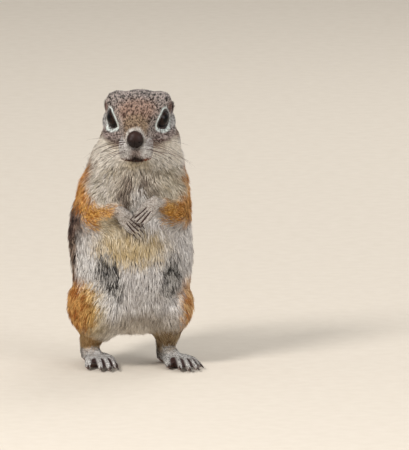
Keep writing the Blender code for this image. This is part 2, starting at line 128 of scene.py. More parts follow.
def slimCone(corners, base, tip, cuts):
    # one unit long along Z, with extra points along its length
    bpy.ops.mesh.primitive_cone_add(
        vertices=corners, radius1=base, radius2=tip, depth=1, location=(0, 0, 0.5))
    cone = bpy.context.object
    settle(cone)
    bpy.ops.object.mode_set(mode="EDIT")
    bpy.ops.mesh.select_mode(type="EDGE")
    bpy.ops.mesh.select_all(action="DESELECT")
    bpy.ops.object.mode_set(mode="OBJECT")
    for edge in cone.data.edges:
        heights = [cone.data.vertices[corner].co.z for corner in edge.vertices]
        edge.select = max(heights) > min(heights) + 0.5
    bpy.ops.object.mode_set(mode="EDIT")
    bpy.ops.mesh.subdivide(number_cuts=cuts)
    bpy.ops.object.mode_set(mode="OBJECT")
    return cone


def averaged(values, edges, rounds):
    # each value becomes the mean of its neighbours, as often as asked
    count = len(values)
    links = np.maximum(np.bincount(edges.ravel(), minlength=count), 1)
    for _ in range(rounds):
        columns = []
        for column in values.T:
            total = np.bincount(edges[:, 0], column[edges[:, 1]], count)
            total += np.bincount(edges[:, 1], column[edges[:, 0]], count)
            columns.append(total / links)
        values = np.stack(columns, 1)
    return values


def unit(vectors):
    return vectors / np.maximum(np.linalg.norm(vectors, axis=-1, keepdims=True), 1e-12)


def acrossTo(vectors, axis):
    # what is left of vectors when their part along an axis, or along one axis each, is taken out
    return vectors - (vectors * axis).sum(-1)[:, None] * axis


def distances(places, place):
    return np.linalg.norm(places - np.array(place), axis=1)


def ramp(value, low, high):
    # 0 below low, 1 above high, smooth in between
    share = np.clip((value - low) / (high - low), 0, 1)
    return share * share * (3 - 2 * share)


def band(value, ends):
    # 0 outside the first and last of four ends, 1 between the inner two
    return ramp(value, *ends[:2]) * (1 - ramp(value, *ends[2:]))


def boxMiddle(node):
    low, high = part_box(node)
    return (low + high) / 2


def srgb(red, green, blue):
    # a paint colour in 0 to 255 as the linear colour that a shader takes
    linear = [((c / 255 + 0.055) / 1.055) ** 2.4 if c > 10 else c / 3295 for c in (red, green, blue)]
    return (*linear, 1.0)


# where things are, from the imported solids
headShape = {
    "noseDrop": 15.5,  # degrees from the level of the eyes down to the nose
    "hipTurn": 18.0,  # degrees that the hips face to the animal's left
    "eyeShare": 0.99, "eyeSink": 0.85,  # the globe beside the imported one: size, and millimetres further in
}
eyeMiddles = {side: boxMiddle("eye_" + side) for side in sides}
eyeRadius = max(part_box("eye_left")[1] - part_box("eye_left")[0]) / 2
headMiddle = (eyeMiddles["left"] + eyeMiddles["right"]) / 2
headLeft = (eyeMiddles["left"] - eyeMiddles["right"]).normalized()
toNose = boxMiddle("nose") - headMiddle
toNose -= headLeft * toNose.dot(headLeft)
headFront = Matrix.Rotation(math.radians(-headShape["noseDrop"]), 3, headLeft) @ toNose.normalized()
headUp = headFront.cross(headLeft)
headAxes = np.array([headLeft, -headFront, headUp])  # left, backwards, up
orbitRadius = eyeRadius
eyeRadius *= headShape["eyeShare"]
for side, sign in sides.items():
    eyeMiddles[side] = eyeMiddles[side] - headLeft * sign * headShape["eyeSink"] * mm


def onHead(sideways, back, up):
    # a place given in millimetres from the middle between the eyes
    return headMiddle + (headLeft * sideways - headFront * back + headUp * up) * mm


def inHead(places):
    return (places - np.array(headMiddle)) @ headAxes.T / mm


def rootOfClaw(claw):
    # the end of a claw that sits in its toe, and the way the claw points
    paw = boxMiddle(claw.replace("hind_claw", "foot").replace("fore_claw", "hand")[:-2])
    corners = pointsOf(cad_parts[claw].data)
    order = np.argsort(distances(corners, paw))
    root = corners[order[:len(order) // 4]].mean(0)
    return Vector(root), Vector(corners[order[-1]])


clawNames = sorted(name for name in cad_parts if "claw" in name)
otherNames = [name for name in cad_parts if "claw" not in name]
fleshNames = sorted(name for name in otherNames if not name.startswith(("eye", "nose")))
clawEnds = {name: rootOfClaw(name) for name in clawNames}
pawClaws = {"hand": "fore_claw_", "foot": "hind_claw_"}


# skin: one surface inside the flesh nodes

skinSettings = {
    "swell": 0.25,  # closes the cuts between the nodes, millimetres
    "voxel": 0.32,
    "smoothing": 7,
    "mostTriangles": 185000,
    "lid": 0.45,  # thickness of the lids
    "lidAngle": 58.0,  # from the eye's axis to the edge of the lids, degrees
    # how far the upper lid hangs over, and the way there from straight ahead, degrees
    "lidHood": (0.34, 48.0),
    "lidCorner": (0.2, -53.0),  # the same for the inner corner, which opens downwards
    "lidSlope": 0.9,  # how steeply the lids rise round the eye
    "lidEdge": 0.2,  # points this near the edge of the lids are drawn onto it
    "lidStand": 0.3, "lidSink": 0.9,  # how far the edge is over the globe, and what lies inside it under it
    "lidReach": (2.4, 4.4),  # how far out the lids go over into brow and cheek
    "eyeAxis": (0.80, -0.58, 0.10),
    "mouthHeight": -15.5, "mouthRise": 0.02,  # the rise grows with the square of the way from the middle
    "mouthHalfWidth": 6.4, "mouthDepth": 1.5, "mouthSoft": 0.7,
    "lipGroove": 0.4, "lipGrooveWidth": 0.45,  # the groove from the nose down to the mouth
    "lipGrooveEnds": (-16.0, -14.6, -8.0, -6.5),  # heights from the eyes: it starts, is full, fades, ends
    "faceFront": (-8.0, -6.0),  # how far back mouth and groove go
    "chinDrop": 3.1,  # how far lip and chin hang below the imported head's
    "chinEnds": (7.0, 12.0, 16.0, 24.0),  # the same for the drop, measured downwards
    "chinBack": (-11.0, -5.0), "chinSide": (5.0, 10.0),  # where the drop fades
    "earMove": {"left": (-0.6, -0.3, -1.3), "right": (-0.3, -0.3, -1.0)},
    "earHollow": 1.0, "earHollowSize": 1.7,
    "crownCorners": 1.0,  # how far the sides of the crown are filled out
    "cornerAt": (12.0, 7.5), "cornerSize": (4.5, 3.5), "cornerBack": (8, 14),  # sideways and up, and its end
    "nape": ((0, 12.5, -6.5), (13.0, 10.3, 10.0)),  # fills the hollow between head and neck
    "creaseDepth": {"hand": 0.4, "foot": 0.75},
    "creaseReach": {"hand": 1.25, "foot": 0.8},  # from the claws towards the middle of the paw
    "creaseWidth": 0.19,  # as a share of the way from one toe to the next
    "toeEnd": {"hind": 1.05, "fore": 0.78},  # radius round the root of a claw
    # how far the coat stands over the skin, by node, in millimetres
    "depth": {
        "head": 0.75, "neck": 1.9, "trunk": 2.2, "tail": 1.7, "upper_arm": 1.7, "forearm": 0.9,
        "hand": 0.12, "thigh": 2.1, "shank": 0.9, "foot": 0.12, "ear": 0.15,
    },
    # how much the coat evens out the skin, from 0 to 1
    "evening": {
        "head": 0.12, "ear": 0.0, "hand": 0.04, "foot": 0.08, "shank": 1.0, "forearm": 0.7, "": 1.0,
    },
    "eveningRounds": 24, "napeRounds": 90,
}


def eyeAxis(side):
    sideways, back, up = skinSettings["eyeAxis"]
    return (headLeft * sideways * sides[side] - headFront * back + headUp * up).normalized()


def copyMerged(name):
    piece = inScene("flesh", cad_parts[name].data.copy())
    editWhole(piece)
    bpy.ops.mesh.remove_doubles(threshold=0.01 * mm)
    bpy.ops.object.mode_set(mode="OBJECT")
    faceOutwards(piece)
    piece.data.materials.clear()
    applyModifier(piece, "DISPLACE", strength=skinSettings["swell"] * mm, mid_level=0.0)
    return piece


def ballAt(place, radius):
    bpy.ops.mesh.primitive_ico_sphere_add(subdivisions=3, radius=radius, location=place)
    return bpy.context.object


def nodeNearest(places):
    # which flesh node lies nearest to each place
    corners, faces, owners = [], [], []
    for index, name in enumerate(fleshNames):
        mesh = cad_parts[name].data
        start = len(corners)
        corners += [vertex.co.copy() for vertex in mesh.vertices]
        for polygon in mesh.polygons:
            faces.append([start + corner for corner in polygon.vertices])
            owners.append(index)
    tree = BVHTree.FromPolygons(corners, faces)
    return np.array([owners[tree.find_nearest(place)[2]] for place in places.tolist()])


def byNode(labels, table):
    # the value that a table gives for the start of each label's name
    worth = [next(v for k, v in table.items() if name.startswith(k)) for name in fleshNames]
    return np.array(worth)[labels]


def isOn(labels, name):
    return labels == fleshNames.index(name)


def aroundEye(places, side):
    # distance from the eye's middle, angle round its axis,
    # the way past the edge of the lids in millimetres, and the angle from the axis to that edge
    axis = eyeAxis(side)
    forward = (headFront - axis * headFront.dot(axis)).normalized()
    upward = (headUp - axis * headUp.dot(axis) - forward * headUp.dot(forward)).normalized()
    away = places - np.array(eyeMiddles[side])
    far = np.linalg.norm(away, axis=1)
    lean = np.arccos(np.clip(away @ np.array(axis) / far, -1, 1))
    around = np.arctan2(away @ np.array(upward), away @ np.array(forward))
    opening = np.ones(len(places))
    for bend, sign, power in (("lidHood", -1, 1.6), ("lidCorner", 1, 4)):
        share, angle = skinSettings[bend]
        opening += sign * share * np.maximum(0, np.cos(around - math.radians(angle))) ** power
    edge = math.radians(skinSettings["lidAngle"]) * opening
    return far, around, (lean - edge) * eyeRadius / mm, edge


def offLids(places, side):
    # the way from the edge of the lids, over the skin, in millimetres, and the angle round the eye
    far, around, past, edge = aroundEye(places, side)
    return np.hypot(np.maximum(past, 0), np.maximum((far - eyeRadius) / mm - 0.4, 0)), around


def eyeMarks(places):
    # the pale ring, broadest under the eye and faint behind it, and the dark edge of the lids
    ring, dark = np.zeros((2, len(places)))
    for side in sides:
        off, around = offLids(places, side)
        below = np.maximum(0, -np.sin(around))
        behind = ramp(-np.cos(around), 0.1, 0.8)
        width = 1.1 + 0.9 * below - 0.3 * behind
        ring += ramp(off, 0.2, 0.45) * (1 - ramp(off / width, 0.75, 1.25)) * (1 - 0.5 * behind)
        dark += 1 - ramp(off, 0.3, 0.55)
    return ring, dark


def openLids(places, side, edges):
    # the closed lids are parted in a slanted almond: what lies inside it sinks behind the eyeball's front
    middle = np.array(eyeMiddles[side])
    axis = np.array(eyeAxis(side))
    far, around, past, edge = aroundEye(places, side)
    firstReach, lastReach = (eyeRadius + reach * mm for reach in skinSettings["lidReach"])
    near = far < lastReach
    rim = near & (np.abs(past) < skinSettings["lidEdge"])
    across = unit(acrossTo(places[rim] - middle, axis))
    onEdge = axis * np.cos(edge[rim])[:, None] + across * np.sin(edge[rim])[:, None]
    places[rim] = middle + onEdge * (eyeRadius + skinSettings["lidStand"] * mm)
    hole = near & (past <= -skinSettings["lidEdge"])
    places[hole] = middle + unit(places[hole] - middle) * (eyeRadius - skinSettings["lidSink"] * mm)
    # beyond the edge the lids rise slowly to the brow and the cheek
    lid = near & (past >= skinSettings["lidEdge"])
    least = eyeRadius + 0.35 * mm
    most = least + (past - skinSettings["lidEdge"]) * skinSettings["lidSlope"] * mm
    share = (1 - ramp(past, 1.0, 3.2)) * (1 - ramp(far, firstReach, lastReach))
    height = far + (np.clip(far, least, np.maximum(most, least)) - far) * share
    places[lid] = middle + unit(places[lid] - middle) * height[lid, None]
    slope = lid & (past > 0.35)
    for _ in range(4):
        places[slope] += (averaged(places, edges, 1) - places)[slope] * 0.6


def clawsOf(kind, side):
    return [clawEnds[name] for name in clawNames if name.startswith(pawClaws[kind] + side)]


def creasesOf(places, kind, labels):
    # how deep in the gap between two toes or fingers each place lies, from 0 to 1
    found = np.zeros(len(places))
    for side in sides:
        own = isOn(labels, f"{kind}_{side}")
        roots = [np.array(root) for root, tip in clawsOf(kind, side)]
        knuckles = np.mean(roots, 0)
        back = (np.array(boxMiddle(f"{kind}_{side}")) - knuckles) * skinSettings["creaseReach"][kind]
        for first, second in zip(roots, roots[1:]):
            start = (first + second) / 2
            way = back + (knuckles - start) * 0.35
            gap = np.linalg.norm(second - first)
            across = unit(second - first - unit(way) * (second - first).dot(unit(way)))
            along = (places - start) @ way / way.dot(way)
            off = places - start - np.clip(along, -1, 1)[:, None] * way
            width = gap * skinSettings["creaseWidth"] * (1.2 - 0.5 * np.clip(along, 0, 1))
            deep = np.exp(-((off @ across) / width) ** 2) * (1 - ramp(along, 0.6, 1.0)) * (along > -1)
            found = np.maximum(found, deep * own)
    return found


def allCreases(places, labels):
    return np.maximum(creasesOf(places, "hand", labels), creasesOf(places, "foot", labels))


def mouthLine(sideways):
    # the height of the mouth, which rises a little towards its corners
    return skinSettings["mouthHeight"] + skinSettings["mouthRise"] * sideways ** 2


def fillFace(places):
    # lip and chin come lower, and the sides of the crown further out
    sideways, back, up = inHead(places).T
    lower = band(-up, skinSettings["chinEnds"]) * (1 - ramp(back, *skinSettings["chinBack"]))
    lower *= 1 - ramp(np.abs(sideways), *skinSettings["chinSide"])
    places -= (lower * skinSettings["chinDrop"] * mm)[:, None] * np.array(headUp)
    sideways, back, up = inHead(places).T
    (aside, height), (wide, tall) = skinSettings["cornerAt"], skinSettings["cornerSize"]
    corner = np.exp(-((np.abs(sideways) - aside) / wide) ** 2 - ((up - height) / tall) ** 2)
    corner *= 1 - ramp(back, *skinSettings["cornerBack"])
    outwards = np.sign(sideways)[:, None] * np.array(headLeft) * 0.75 + np.array(headUp) * 0.65
    places += outwards * (corner * skinSettings["crownCorners"] * mm)[:, None]


def shapeDetails(places, normals, labels, edges):
    # lids, mouth, the groove under the nose, gaps between the toes and the hollows of the ears
    fillFace(places)
    sideways, back, up = inHead(places).T
    for side in sides:
        openLids(places, side, edges)
    reach = skinSettings["mouthHalfWidth"]
    across = 1 - ramp(np.abs(sideways), reach - 2.0, reach)
    front = 1 - ramp(back, *skinSettings["faceFront"])
    line = np.exp(-((up - mouthLine(sideways)) / skinSettings["mouthSoft"]) ** 2)
    dent = skinSettings["mouthDepth"] * line * across * front
    between = band(up, skinSettings["lipGrooveEnds"])
    groove = np.exp(-(sideways / skinSettings["lipGrooveWidth"]) ** 2)
    dent += skinSettings["lipGroove"] * groove * between * front
    for kind, depth in skinSettings["creaseDepth"].items():
        dent += depth * creasesOf(places, kind, labels)
    for side, sign in sides.items():
        axis = np.array((headFront * 0.5 + headLeft * sign).normalized())
        off = acrossTo((places - np.array(boxMiddle("ear_" + side))) / mm, axis)
        hollow = np.exp(-(np.linalg.norm(off, axis=1) / skinSettings["earHollowSize"]) ** 2)
        dent += skinSettings["earHollow"] * hollow * (isOn(labels, "ear_" + side) & (normals @ axis > 0.2))
    return places - normals * (dent * mm)[:, None]


def joinFlesh():
    # flesh, closed lids, nape and toe ends as one surface
    parts = [copyMerged(name) for name in fleshNames]
    for side in sides:  # closed lids, which are opened afterwards
        radius = orbitRadius + (skinSettings["lid"] + skinSettings["swell"]) * mm
        parts.append(ballAt(boxMiddle("eye_" + side), radius))
    place, radii = skinSettings["nape"]
    parts.append(ballAt(onHead(*place), mm))
    parts[-1].scale = radii
    for claw, (root, tip) in clawEnds.items():
        size = skinSettings["toeEnd"][claw[:4]]
        parts.append(ballAt(root.lerp(tip, 0.12), size * mm))
    for part in parts:
        settle(part)
    selectOnly(*parts)
    bpy.ops.object.join()
    joined = bpy.context.object
    nameBoth(joined, "skin")
    applyModifier(joined, "REMESH", mode="VOXEL", voxel_size=skinSettings["voxel"] * mm)
    applyModifier(joined, "SMOOTH", factor=0.5, iterations=skinSettings["smoothing"])
    return joined


def sinkUnderCoat(mesh, labels, edges):
    # the surface is evened out, and drawn in by the depth of the coat
    places = pointsOf(mesh)
    even = byNode(labels, skinSettings["evening"])
    even = np.maximum(even, ramp(places[:, 2], 4 * mm, 7 * mm) * (places[:, 2] < 14 * mm))  # ankles
    even = averaged(even[:, None], edges, 12)
    for _ in range(skinSettings["eveningRounds"]):
        places += (averaged(places, edges, 1) - places) * even
    back, up = inHead(places).T[1:]
    nape = ramp(back, 8, 13) * ramp(places[:, 2], 80 * mm, 88 * mm) * (1 - ramp(up, -4, 3))
    for _ in range(skinSettings["napeRounds"]):
        places += (averaged(places, edges, 1) - places) * nape[:, None]
    movePoints(mesh, places)
    depth = byNode(labels, skinSettings["depth"])
    for side in sides:  # thin skin on the lids
        depth *= 0.1 + 0.9 * ramp(distances(places, eyeMiddles[side]) / mm, 5.0, 9.0)
    back, up = inHead(places).T[1:]
    depth *= 1 - 0.55 * ramp(-back, 6.0, 13.0) * (1 - ramp(np.abs(up + 8), 8.0, 12.0))  # and on the muzzle
    depth = averaged(depth[:, None], edges, 60)[:, 0]
    depth *= ramp(places[:, 2], 0.5 * mm, 3 * mm)  # the soles stay on the floor
    places -= normalsOf(mesh) * ((depth + skinSettings["swell"]) * mm)[:, None]
    places[:, 2] = np.maximum(places[:, 2], 0)
    movePoints(mesh, places)


def trianglesOf(mesh):
    return sum(len(polygon.vertices) - 2 for polygon in mesh.polygons)


def thinOut(skin):
    # the body, which the coat hides, keeps fewer faces than the face, ears and paws
    keep = byNode(nodeNearest(pointsOf(skin.data)), {"head": 0.8, "ear": 1, "hand": 1, "foot": 1, "": 0.0})
    group = skin.vertex_groups.new(name="fine")
    for level in np.unique(keep[keep > 0]):
        group.add(np.flatnonzero(keep == level).tolist(), float(level), "REPLACE")
    applyModifier(
        skin, "DECIMATE", ratio=min(1.0, skinSettings["mostTriangles"] / trianglesOf(skin.data)),
        vertex_group="fine", invert_vertex_group=True, vertex_group_factor=1.0,
    )
    skin.vertex_groups.clear()


def makeSkin():
    skin = joinFlesh()
    mesh = skin.data
    edges = edgesOf(mesh)
    labels = nodeNearest(pointsOf(mesh))
    sinkUnderCoat(mesh, labels, edges)
    applyModifier(skin, "SMOOTH", factor=0.5, iterations=3)
    places = shapeDetails(pointsOf(mesh), normalsOf(mesh), labels, edges)
    for side in sides:
        ear = averaged(isOn(labels, "ear_" + side).astype(float)[:, None], edges, 20)
        places += ear * np.array(skinSettings["earMove"][side]) * mm
    places[:, 2] = np.maximum(places[:, 2], 0)
    movePoints(mesh, places)
    thinOut(skin)
    skin.data.shade_smooth()
    places = pointsOf(skin.data)
    ring, dark = eyeMarks(places)
    # the depth of the gaps between the toes, which the skin's material darkens as painted shade
    addAttribute(skin.data, "crease", allCreases(places, nodeNearest(places)))
    addAttribute(skin.data, "eyeRing", ring)
    addAttribute(skin.data, "lidEdge", dark)
    print("skin:", len(skin.data.vertices), "points", len(skin.data.polygons), "faces")
    return skin


skin = makeSkin()
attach(skin, "root")
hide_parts(*fleshNames)


# coat: tufts that are shaped once and copied over the skin along the lie of the hair
coatSettings = {
    "seed": 11,
    "guideTriangles": 26000,
    "tufts": 168000,
    "mostInPiece": 19900,
    "rootDepth": 0.25,  # millimetres under the skin
    "cover": 0.7,  # how strongly small tufts stand closer than large ones
    "lengthSpread": 0.28, "liftSpread": (0.7, 1.35), "widthSpread": (0.75, 1.3),
    "yawSpread": 13.0, "rollSpread": 32.0,  # degrees
    "tipLift": 0.25,  # share of its lift that a tuft keeps towards the tip
    "waves": 170.0,  # waves in the lie of the hair, to the metre
    "waveTurn": 26.0, "waveLength": 0.15,  # how far they turn a tuft, in degrees, and lengthen it
    "flatten": 0.42,  # thickness as a share of the width
    "clumpSpacing": 11,  # tufts to a lock
    "clumpReach": 3.2, "clumpSpread": (0.6, 1.2),  # its radius in millimetres, and how its pull varies
    "tickSpacing": 4,  # tufts of one tone on the face
    # how far from these the hair starts: in millimetres, for the nose as a share of its own size
    "bare": {"sole": 0.9, "heel": 2.2, "lids": 0.4, "nose": 1.1, "lips": 0.45, "ear": 2.9, "claw": 0.75},
    "bareCrease": 0.3,  # how deep a gap between toes has to be
    # how far a tuft leans towards the one that leads its lock
    "clumpOfNode": {
        "head": 0.16, "ear": 0.0, "hand": 0.1, "foot": 0.12,
        "forearm": 0.25, "shank": 0.25, "tail": 0.2, "": 0.33,
    },
    # share of length or width that is left at the nose, the ears and the eyes
    "least": {"noseLength": 0.42, "noseWidth": 0.55, "earLength": 0.5, "eyeLength": 0.45, "eyeWidth": 0.6},
    "napeLength": 2.0, "napeLift": 10.0,  # the hair behind the head fills the nape
    "cheekLength": 1.3, "cheekLift": 6.0,  # and that of the cheeks stands out
    # how much of a tuft's colour it shares with its lock
    "lockTone": {"head": 0.75, "trunk": 0.7, "thigh": 0.6, "neck": 0.6, "upper_arm": 0.6, "": 0.3},
    "softness": 0.66,  # share of the skin's own normal in a tuft's shading
    "offFloor": 0.2,  # millimetres
    "patch": (0.0015, 0.001, 0.0),  # radius of a tuft's patch on the map, at root, middle and tip
    # by node: length and width in millimetres, and lift from the skin in degrees
    "length": {
        "head": 1.75, "ear": 0.55, "neck": 5.2, "trunk": 5.4, "upper_arm": 4.2, "forearm": 2.2,
        "hand": 0.7, "thigh": 4.6, "shank": 3.1, "foot": 1.1,
        "tail_base": 8.0, "tail_middle": 9.5, "tail_tip": 8.5,
    },
    "width": {
        "head": 0.34, "ear": 0.13, "neck": 0.38, "trunk": 0.42, "upper_arm": 0.36, "forearm": 0.29,
        "hand": 0.16, "thigh": 0.4, "shank": 0.3, "foot": 0.19, "tail": 0.46,
    },
    "lift": {
        "head": 27.0, "ear": 9.0, "neck": 46.0, "trunk": 36.0, "upper_arm": 36.0, "forearm": 24.0,
        "hand": 14.0, "thigh": 34.0, "shank": 32.0, "foot": 14.0, "tail": 42.0,
    },
    "pieces": {
        "head": "head", "ear": "head", "neck": "neck", "trunk": "trunk", "upper_arm": "limbs",
        "forearm": "limbs", "hand": "limbs", "thigh": "legs", "shank": "legs", "foot": "legs", "tail": "tail",
    },
}


def alongHead(places):
    # away from the nose, down at the back, and parted round the eyes
    local = inHead(places) - np.array((0.0, -17.0, -5.0))
    way = unit(local)
    way[:, 2] -= ramp(local[:, 1], 20, 34) * 1.4 + ramp(-local[:, 2], 2, 12) * 0.5
    way = way @ headAxes
    for side in sides:
        toEye = np.array(eyeMiddles[side]) - places
        near = 1 - ramp(np.linalg.norm(toEye, axis=1), eyeRadius + 1.0 * mm, eyeRadius + 3.0 * mm)
        toEye = unit(acrossTo(toEye, np.array(eyeAxis(side))))
        way -= (near * (0.35 + np.maximum(0, (way * toEye).sum(1))))[:, None] * toEye
    return way


def alongBody(places):
    # down, fanned outwards on the chest and a little inwards over the belly
    left, back, up = ((places - np.array(boxMiddle("trunk"))) / mm).T
    fan = 0.85 * ramp(up, 2, 26) - 0.35 * np.exp(-((up + 7) / 9) ** 2)
    aside = fan * ramp(-back, 2, 12) * np.clip((left - 2.5) / 14, -1.2, 1.2)
    return np.stack([aside, np.zeros_like(aside), np.full_like(aside, -1.0)], 1)


def alongNode(name, places):
    # the way the hair lies on one node, before it is laid onto the skin
    kind, side = name.split("_")[0], name.split("_")[-1]
    sign = sides.get(side, 0)
    if kind == "head":
        return alongHead(places)
    if kind in ("trunk", "neck", "upper"):
        return alongBody(places)
    if kind == "tail":
        low, high = boxMiddle("tail_base"), boxMiddle("tail_tip")
        axis = unit(np.array(high - low))
        return axis + unit(acrossTo(places - np.array(low), axis)) * 0.45
    if kind in pawClaws:
        way = np.mean([tip for root, tip in clawsOf(kind, side)], 0) - np.array(boxMiddle(name))
        way[2] *= 0.5 if kind == "foot" else 1
    else:
        way = np.array({
            "ear": headUp * 0.9 - headFront * 0.5 + headLeft * sign * 0.25,
            "forearm": boxMiddle("hand_" + side) - boxMiddle(name),
            "thigh": (0.42 * sign, 0.0, -0.9),
            "shank": (0.0, -0.15, -1.0),
        }[kind])
    return np.tile(way, (len(places), 1))


def makeGuide():
    # a lighter copy of the skin, with the lie, length, width and lift of the hair at each point
    guide = inScene("guide", skin.data.copy())
    applyModifier(guide, "DECIMATE", ratio=coatSettings["guideTriangles"] / trianglesOf(guide.data))
    applyModifier(guide, "TRIANGULATE")
    editWhole(guide)
    bpy.ops.uv.smart_project(angle_limit=math.radians(66), island_margin=0.004)
    bpy.ops.object.mode_set(mode="OBJECT")

    mesh = guide.data
    places, normals, edges = pointsOf(mesh), normalsOf(mesh), edgesOf(mesh)
    labels = nodeNearest(places)
    lay = np.zeros_like(places)
    for index, name in enumerate(fleshNames):
        mine = labels == index
        if mine.any():
            lay[mine] = alongNode(name, places[mine])
    lay = unit(lay)
    for _ in range(3):
        lay = averaged(unit(acrossTo(lay, normals)), edges, 3)
    return guide, places, normals, labels, lay, sizesAt(places, labels, edges)


def nearer(places, middles):
    return np.min([distances(places, middle) for middle in middles], 0) / mm


def shortened(key, away):
    least = coatSettings["least"][key]
    return least + (1 - least) * away


def sizesAt(places, labels, edges):
    # length, width and lift of the hair: short on the face, round eyes and ears, long at cheeks and nape
    sizes = np.stack([byNode(labels, coatSettings[key]) for key in ("length", "width", "lift")], 1)
    length, width, lift = averaged(sizes, edges, 5).T
    sideways, back, up = inHead(places).T
    fromNose = distances(inHead(places), inHead(np.array([boxMiddle("nose")])))
    face = np.where((up > -13) & (back < 14), ramp(fromNose, 3, 22), 1)
    ears = ramp(nearer(places, [boxMiddle("ear_" + side) for side in sides]), 5.0, 8.0)
    eyes = ramp(nearer(places, eyeMiddles.values()), 5.2, 9.5)
    cheek = ramp(np.abs(sideways), 9, 14) * ramp(-up, 4, 14) * (1 - ramp(-up, 19, 26))
    nape = ramp(back, 9, 15) * (1 - ramp(np.abs(up + 3), 5, 14))
    length = length * shortened("noseLength", face) * shortened("earLength", ears)
    length = length + cheek * coatSettings["cheekLength"] + nape * coatSettings["napeLength"]
    lift = lift + cheek * coatSettings["cheekLift"] + nape * coatSettings["napeLift"]
    width = width * shortened("noseWidth", face) * shortened("eyeWidth", eyes)
    return averaged(np.stack([length * shortened("eyeLength", eyes), width, lift], 1), edges, 2)


def isBare(roots, normals, labels):
    # lids, nose, mouth, claws, soles, the gaps of the toes and the hollows of the ears carry no hair
    reach = coatSettings["bare"]
    height = roots[:, 2] / mm
    bare = (height < reach["sole"]) | ((height < reach["heel"]) & (normals[:, 2] < -0.35))
    for side in sides:
        bare |= offLids(roots, side)[0] < reach["lids"]
    low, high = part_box("nose")
    off = (roots - np.array((low + high) / 2)) / np.array((high - low) / 2)
    bare |= np.linalg.norm(off, axis=1) < reach["nose"]
    sideways, back, up = inHead(roots).T
    sideways = np.abs(sideways)
    front = back < -7
    height = mouthLine(sideways)
    onLips = np.abs(up - height) < reach["lips"] - 0.05 * sideways
    bare |= front & onLips & (sideways < skinSettings["mouthHalfWidth"] - 0.8)
    bare |= front & (sideways < 0.2) & (up < -6) & (up > height)
    bare |= allCreases(roots, labels) > coatSettings["bareCrease"]
    for side, sign in sides.items():
        ahead = normals @ np.array(headFront + headLeft * sign * 0.5) > 0.35
        near = distances(roots, boxMiddle("ear_" + side)) < reach["ear"] * mm
        bare |= isOn(labels, "ear_" + side) & ahead & near
    for root, tip in clawEnds.values():
        bare |= distances(roots, root.lerp(tip, 0.25)) < reach["claw"] * mm
    return bare


def plantRoots(chance):
    # roots spread over the guide, closer together where the tufts are small
    guide, places, normals, labels, lay, sizes = makeGuide()
    mesh = guide.data
    corners = readAll(mesh.polygons, "vertices", 3, np.int32)
    areas = readAll(mesh.polygons, "area", 1)[:, 0]
    maps = readAll(mesh.uv_layers.active.uv, "vector", 2).reshape(-1, 3, 2)
    small = (sizes[:, 0] * sizes[:, 1]) ** -coatSettings["cover"]
    share = np.cumsum(areas * small[corners].mean(1))
    total = coatSettings["tufts"]
    picked = np.searchsorted(share, (np.arange(total) + chance.random(total)) / total * share[-1])
    picked = np.minimum(picked, len(corners) - 1)
    first, second = chance.random((2, total))
    over = first + second > 1
    first[over], second[over] = 1 - first[over], 1 - second[over]
    weights = np.stack([1 - first - second, first, second], 1)[:, :, None]

    def spread(values):
        return (values[corners[picked]] * weights).sum(1)

    found = {
        "root": spread(places), "normal": unit(spread(normals)), "lay": spread(lay), "size": spread(sizes),
        "map": (maps[picked] * weights).sum(1),
        "label": labels[corners[picked, 0]],
    }
    found["ring"] = eyeMarks(found["root"])[0]
    bpy.data.objects.remove(guide)
    keep = ~isBare(found["root"], found["normal"], found["label"])
    print("coat:", total, "roots,", int(keep.sum()), "with hair")
    return {key: value[keep] for key, value in found.items()}


def shapeTuft():
    # a three-sided blade, widest at its middle, one unit long
    tuft = slimCone(3, 0.3, 0, 1)
    mesh = tuft.data
    bpy.ops.object.mode_set(mode="EDIT")
    bpy.ops.mesh.select_all(action="DESELECT")
    bpy.ops.object.mode_set(mode="OBJECT")
    for edge in mesh.edges:
        edge.select = all(0.4 < mesh.vertices[corner].co.z < 0.6 for corner in edge.vertices)
    bpy.ops.object.mode_set(mode="EDIT")
    bpy.ops.transform.resize(value=(3.0, 3.0, 1.0))
    bpy.ops.mesh.select_all(action="SELECT")
    bpy.ops.mesh.quads_convert_to_tris()
    bpy.ops.object.mode_set(mode="OBJECT")
    places = pointsOf(mesh)
    triangles = np.array([polygon.vertices[:] for polygon in mesh.polygons])
    bpy.data.objects.remove(tuft)
    return places, triangles


def leadersOf(roots, spacing, chance):
    # for each tuft the one that leads its lock
    leaders = chance.permutation(len(roots))[:len(roots) // spacing]
    tree = KDTree(len(leaders))
    for place, leader in enumerate(leaders.tolist()):
        tree.insert(Vector(roots[leader]), place)
    tree.balance()
    return np.array([leaders[tree.find(place)[1]] for place in roots.tolist()])


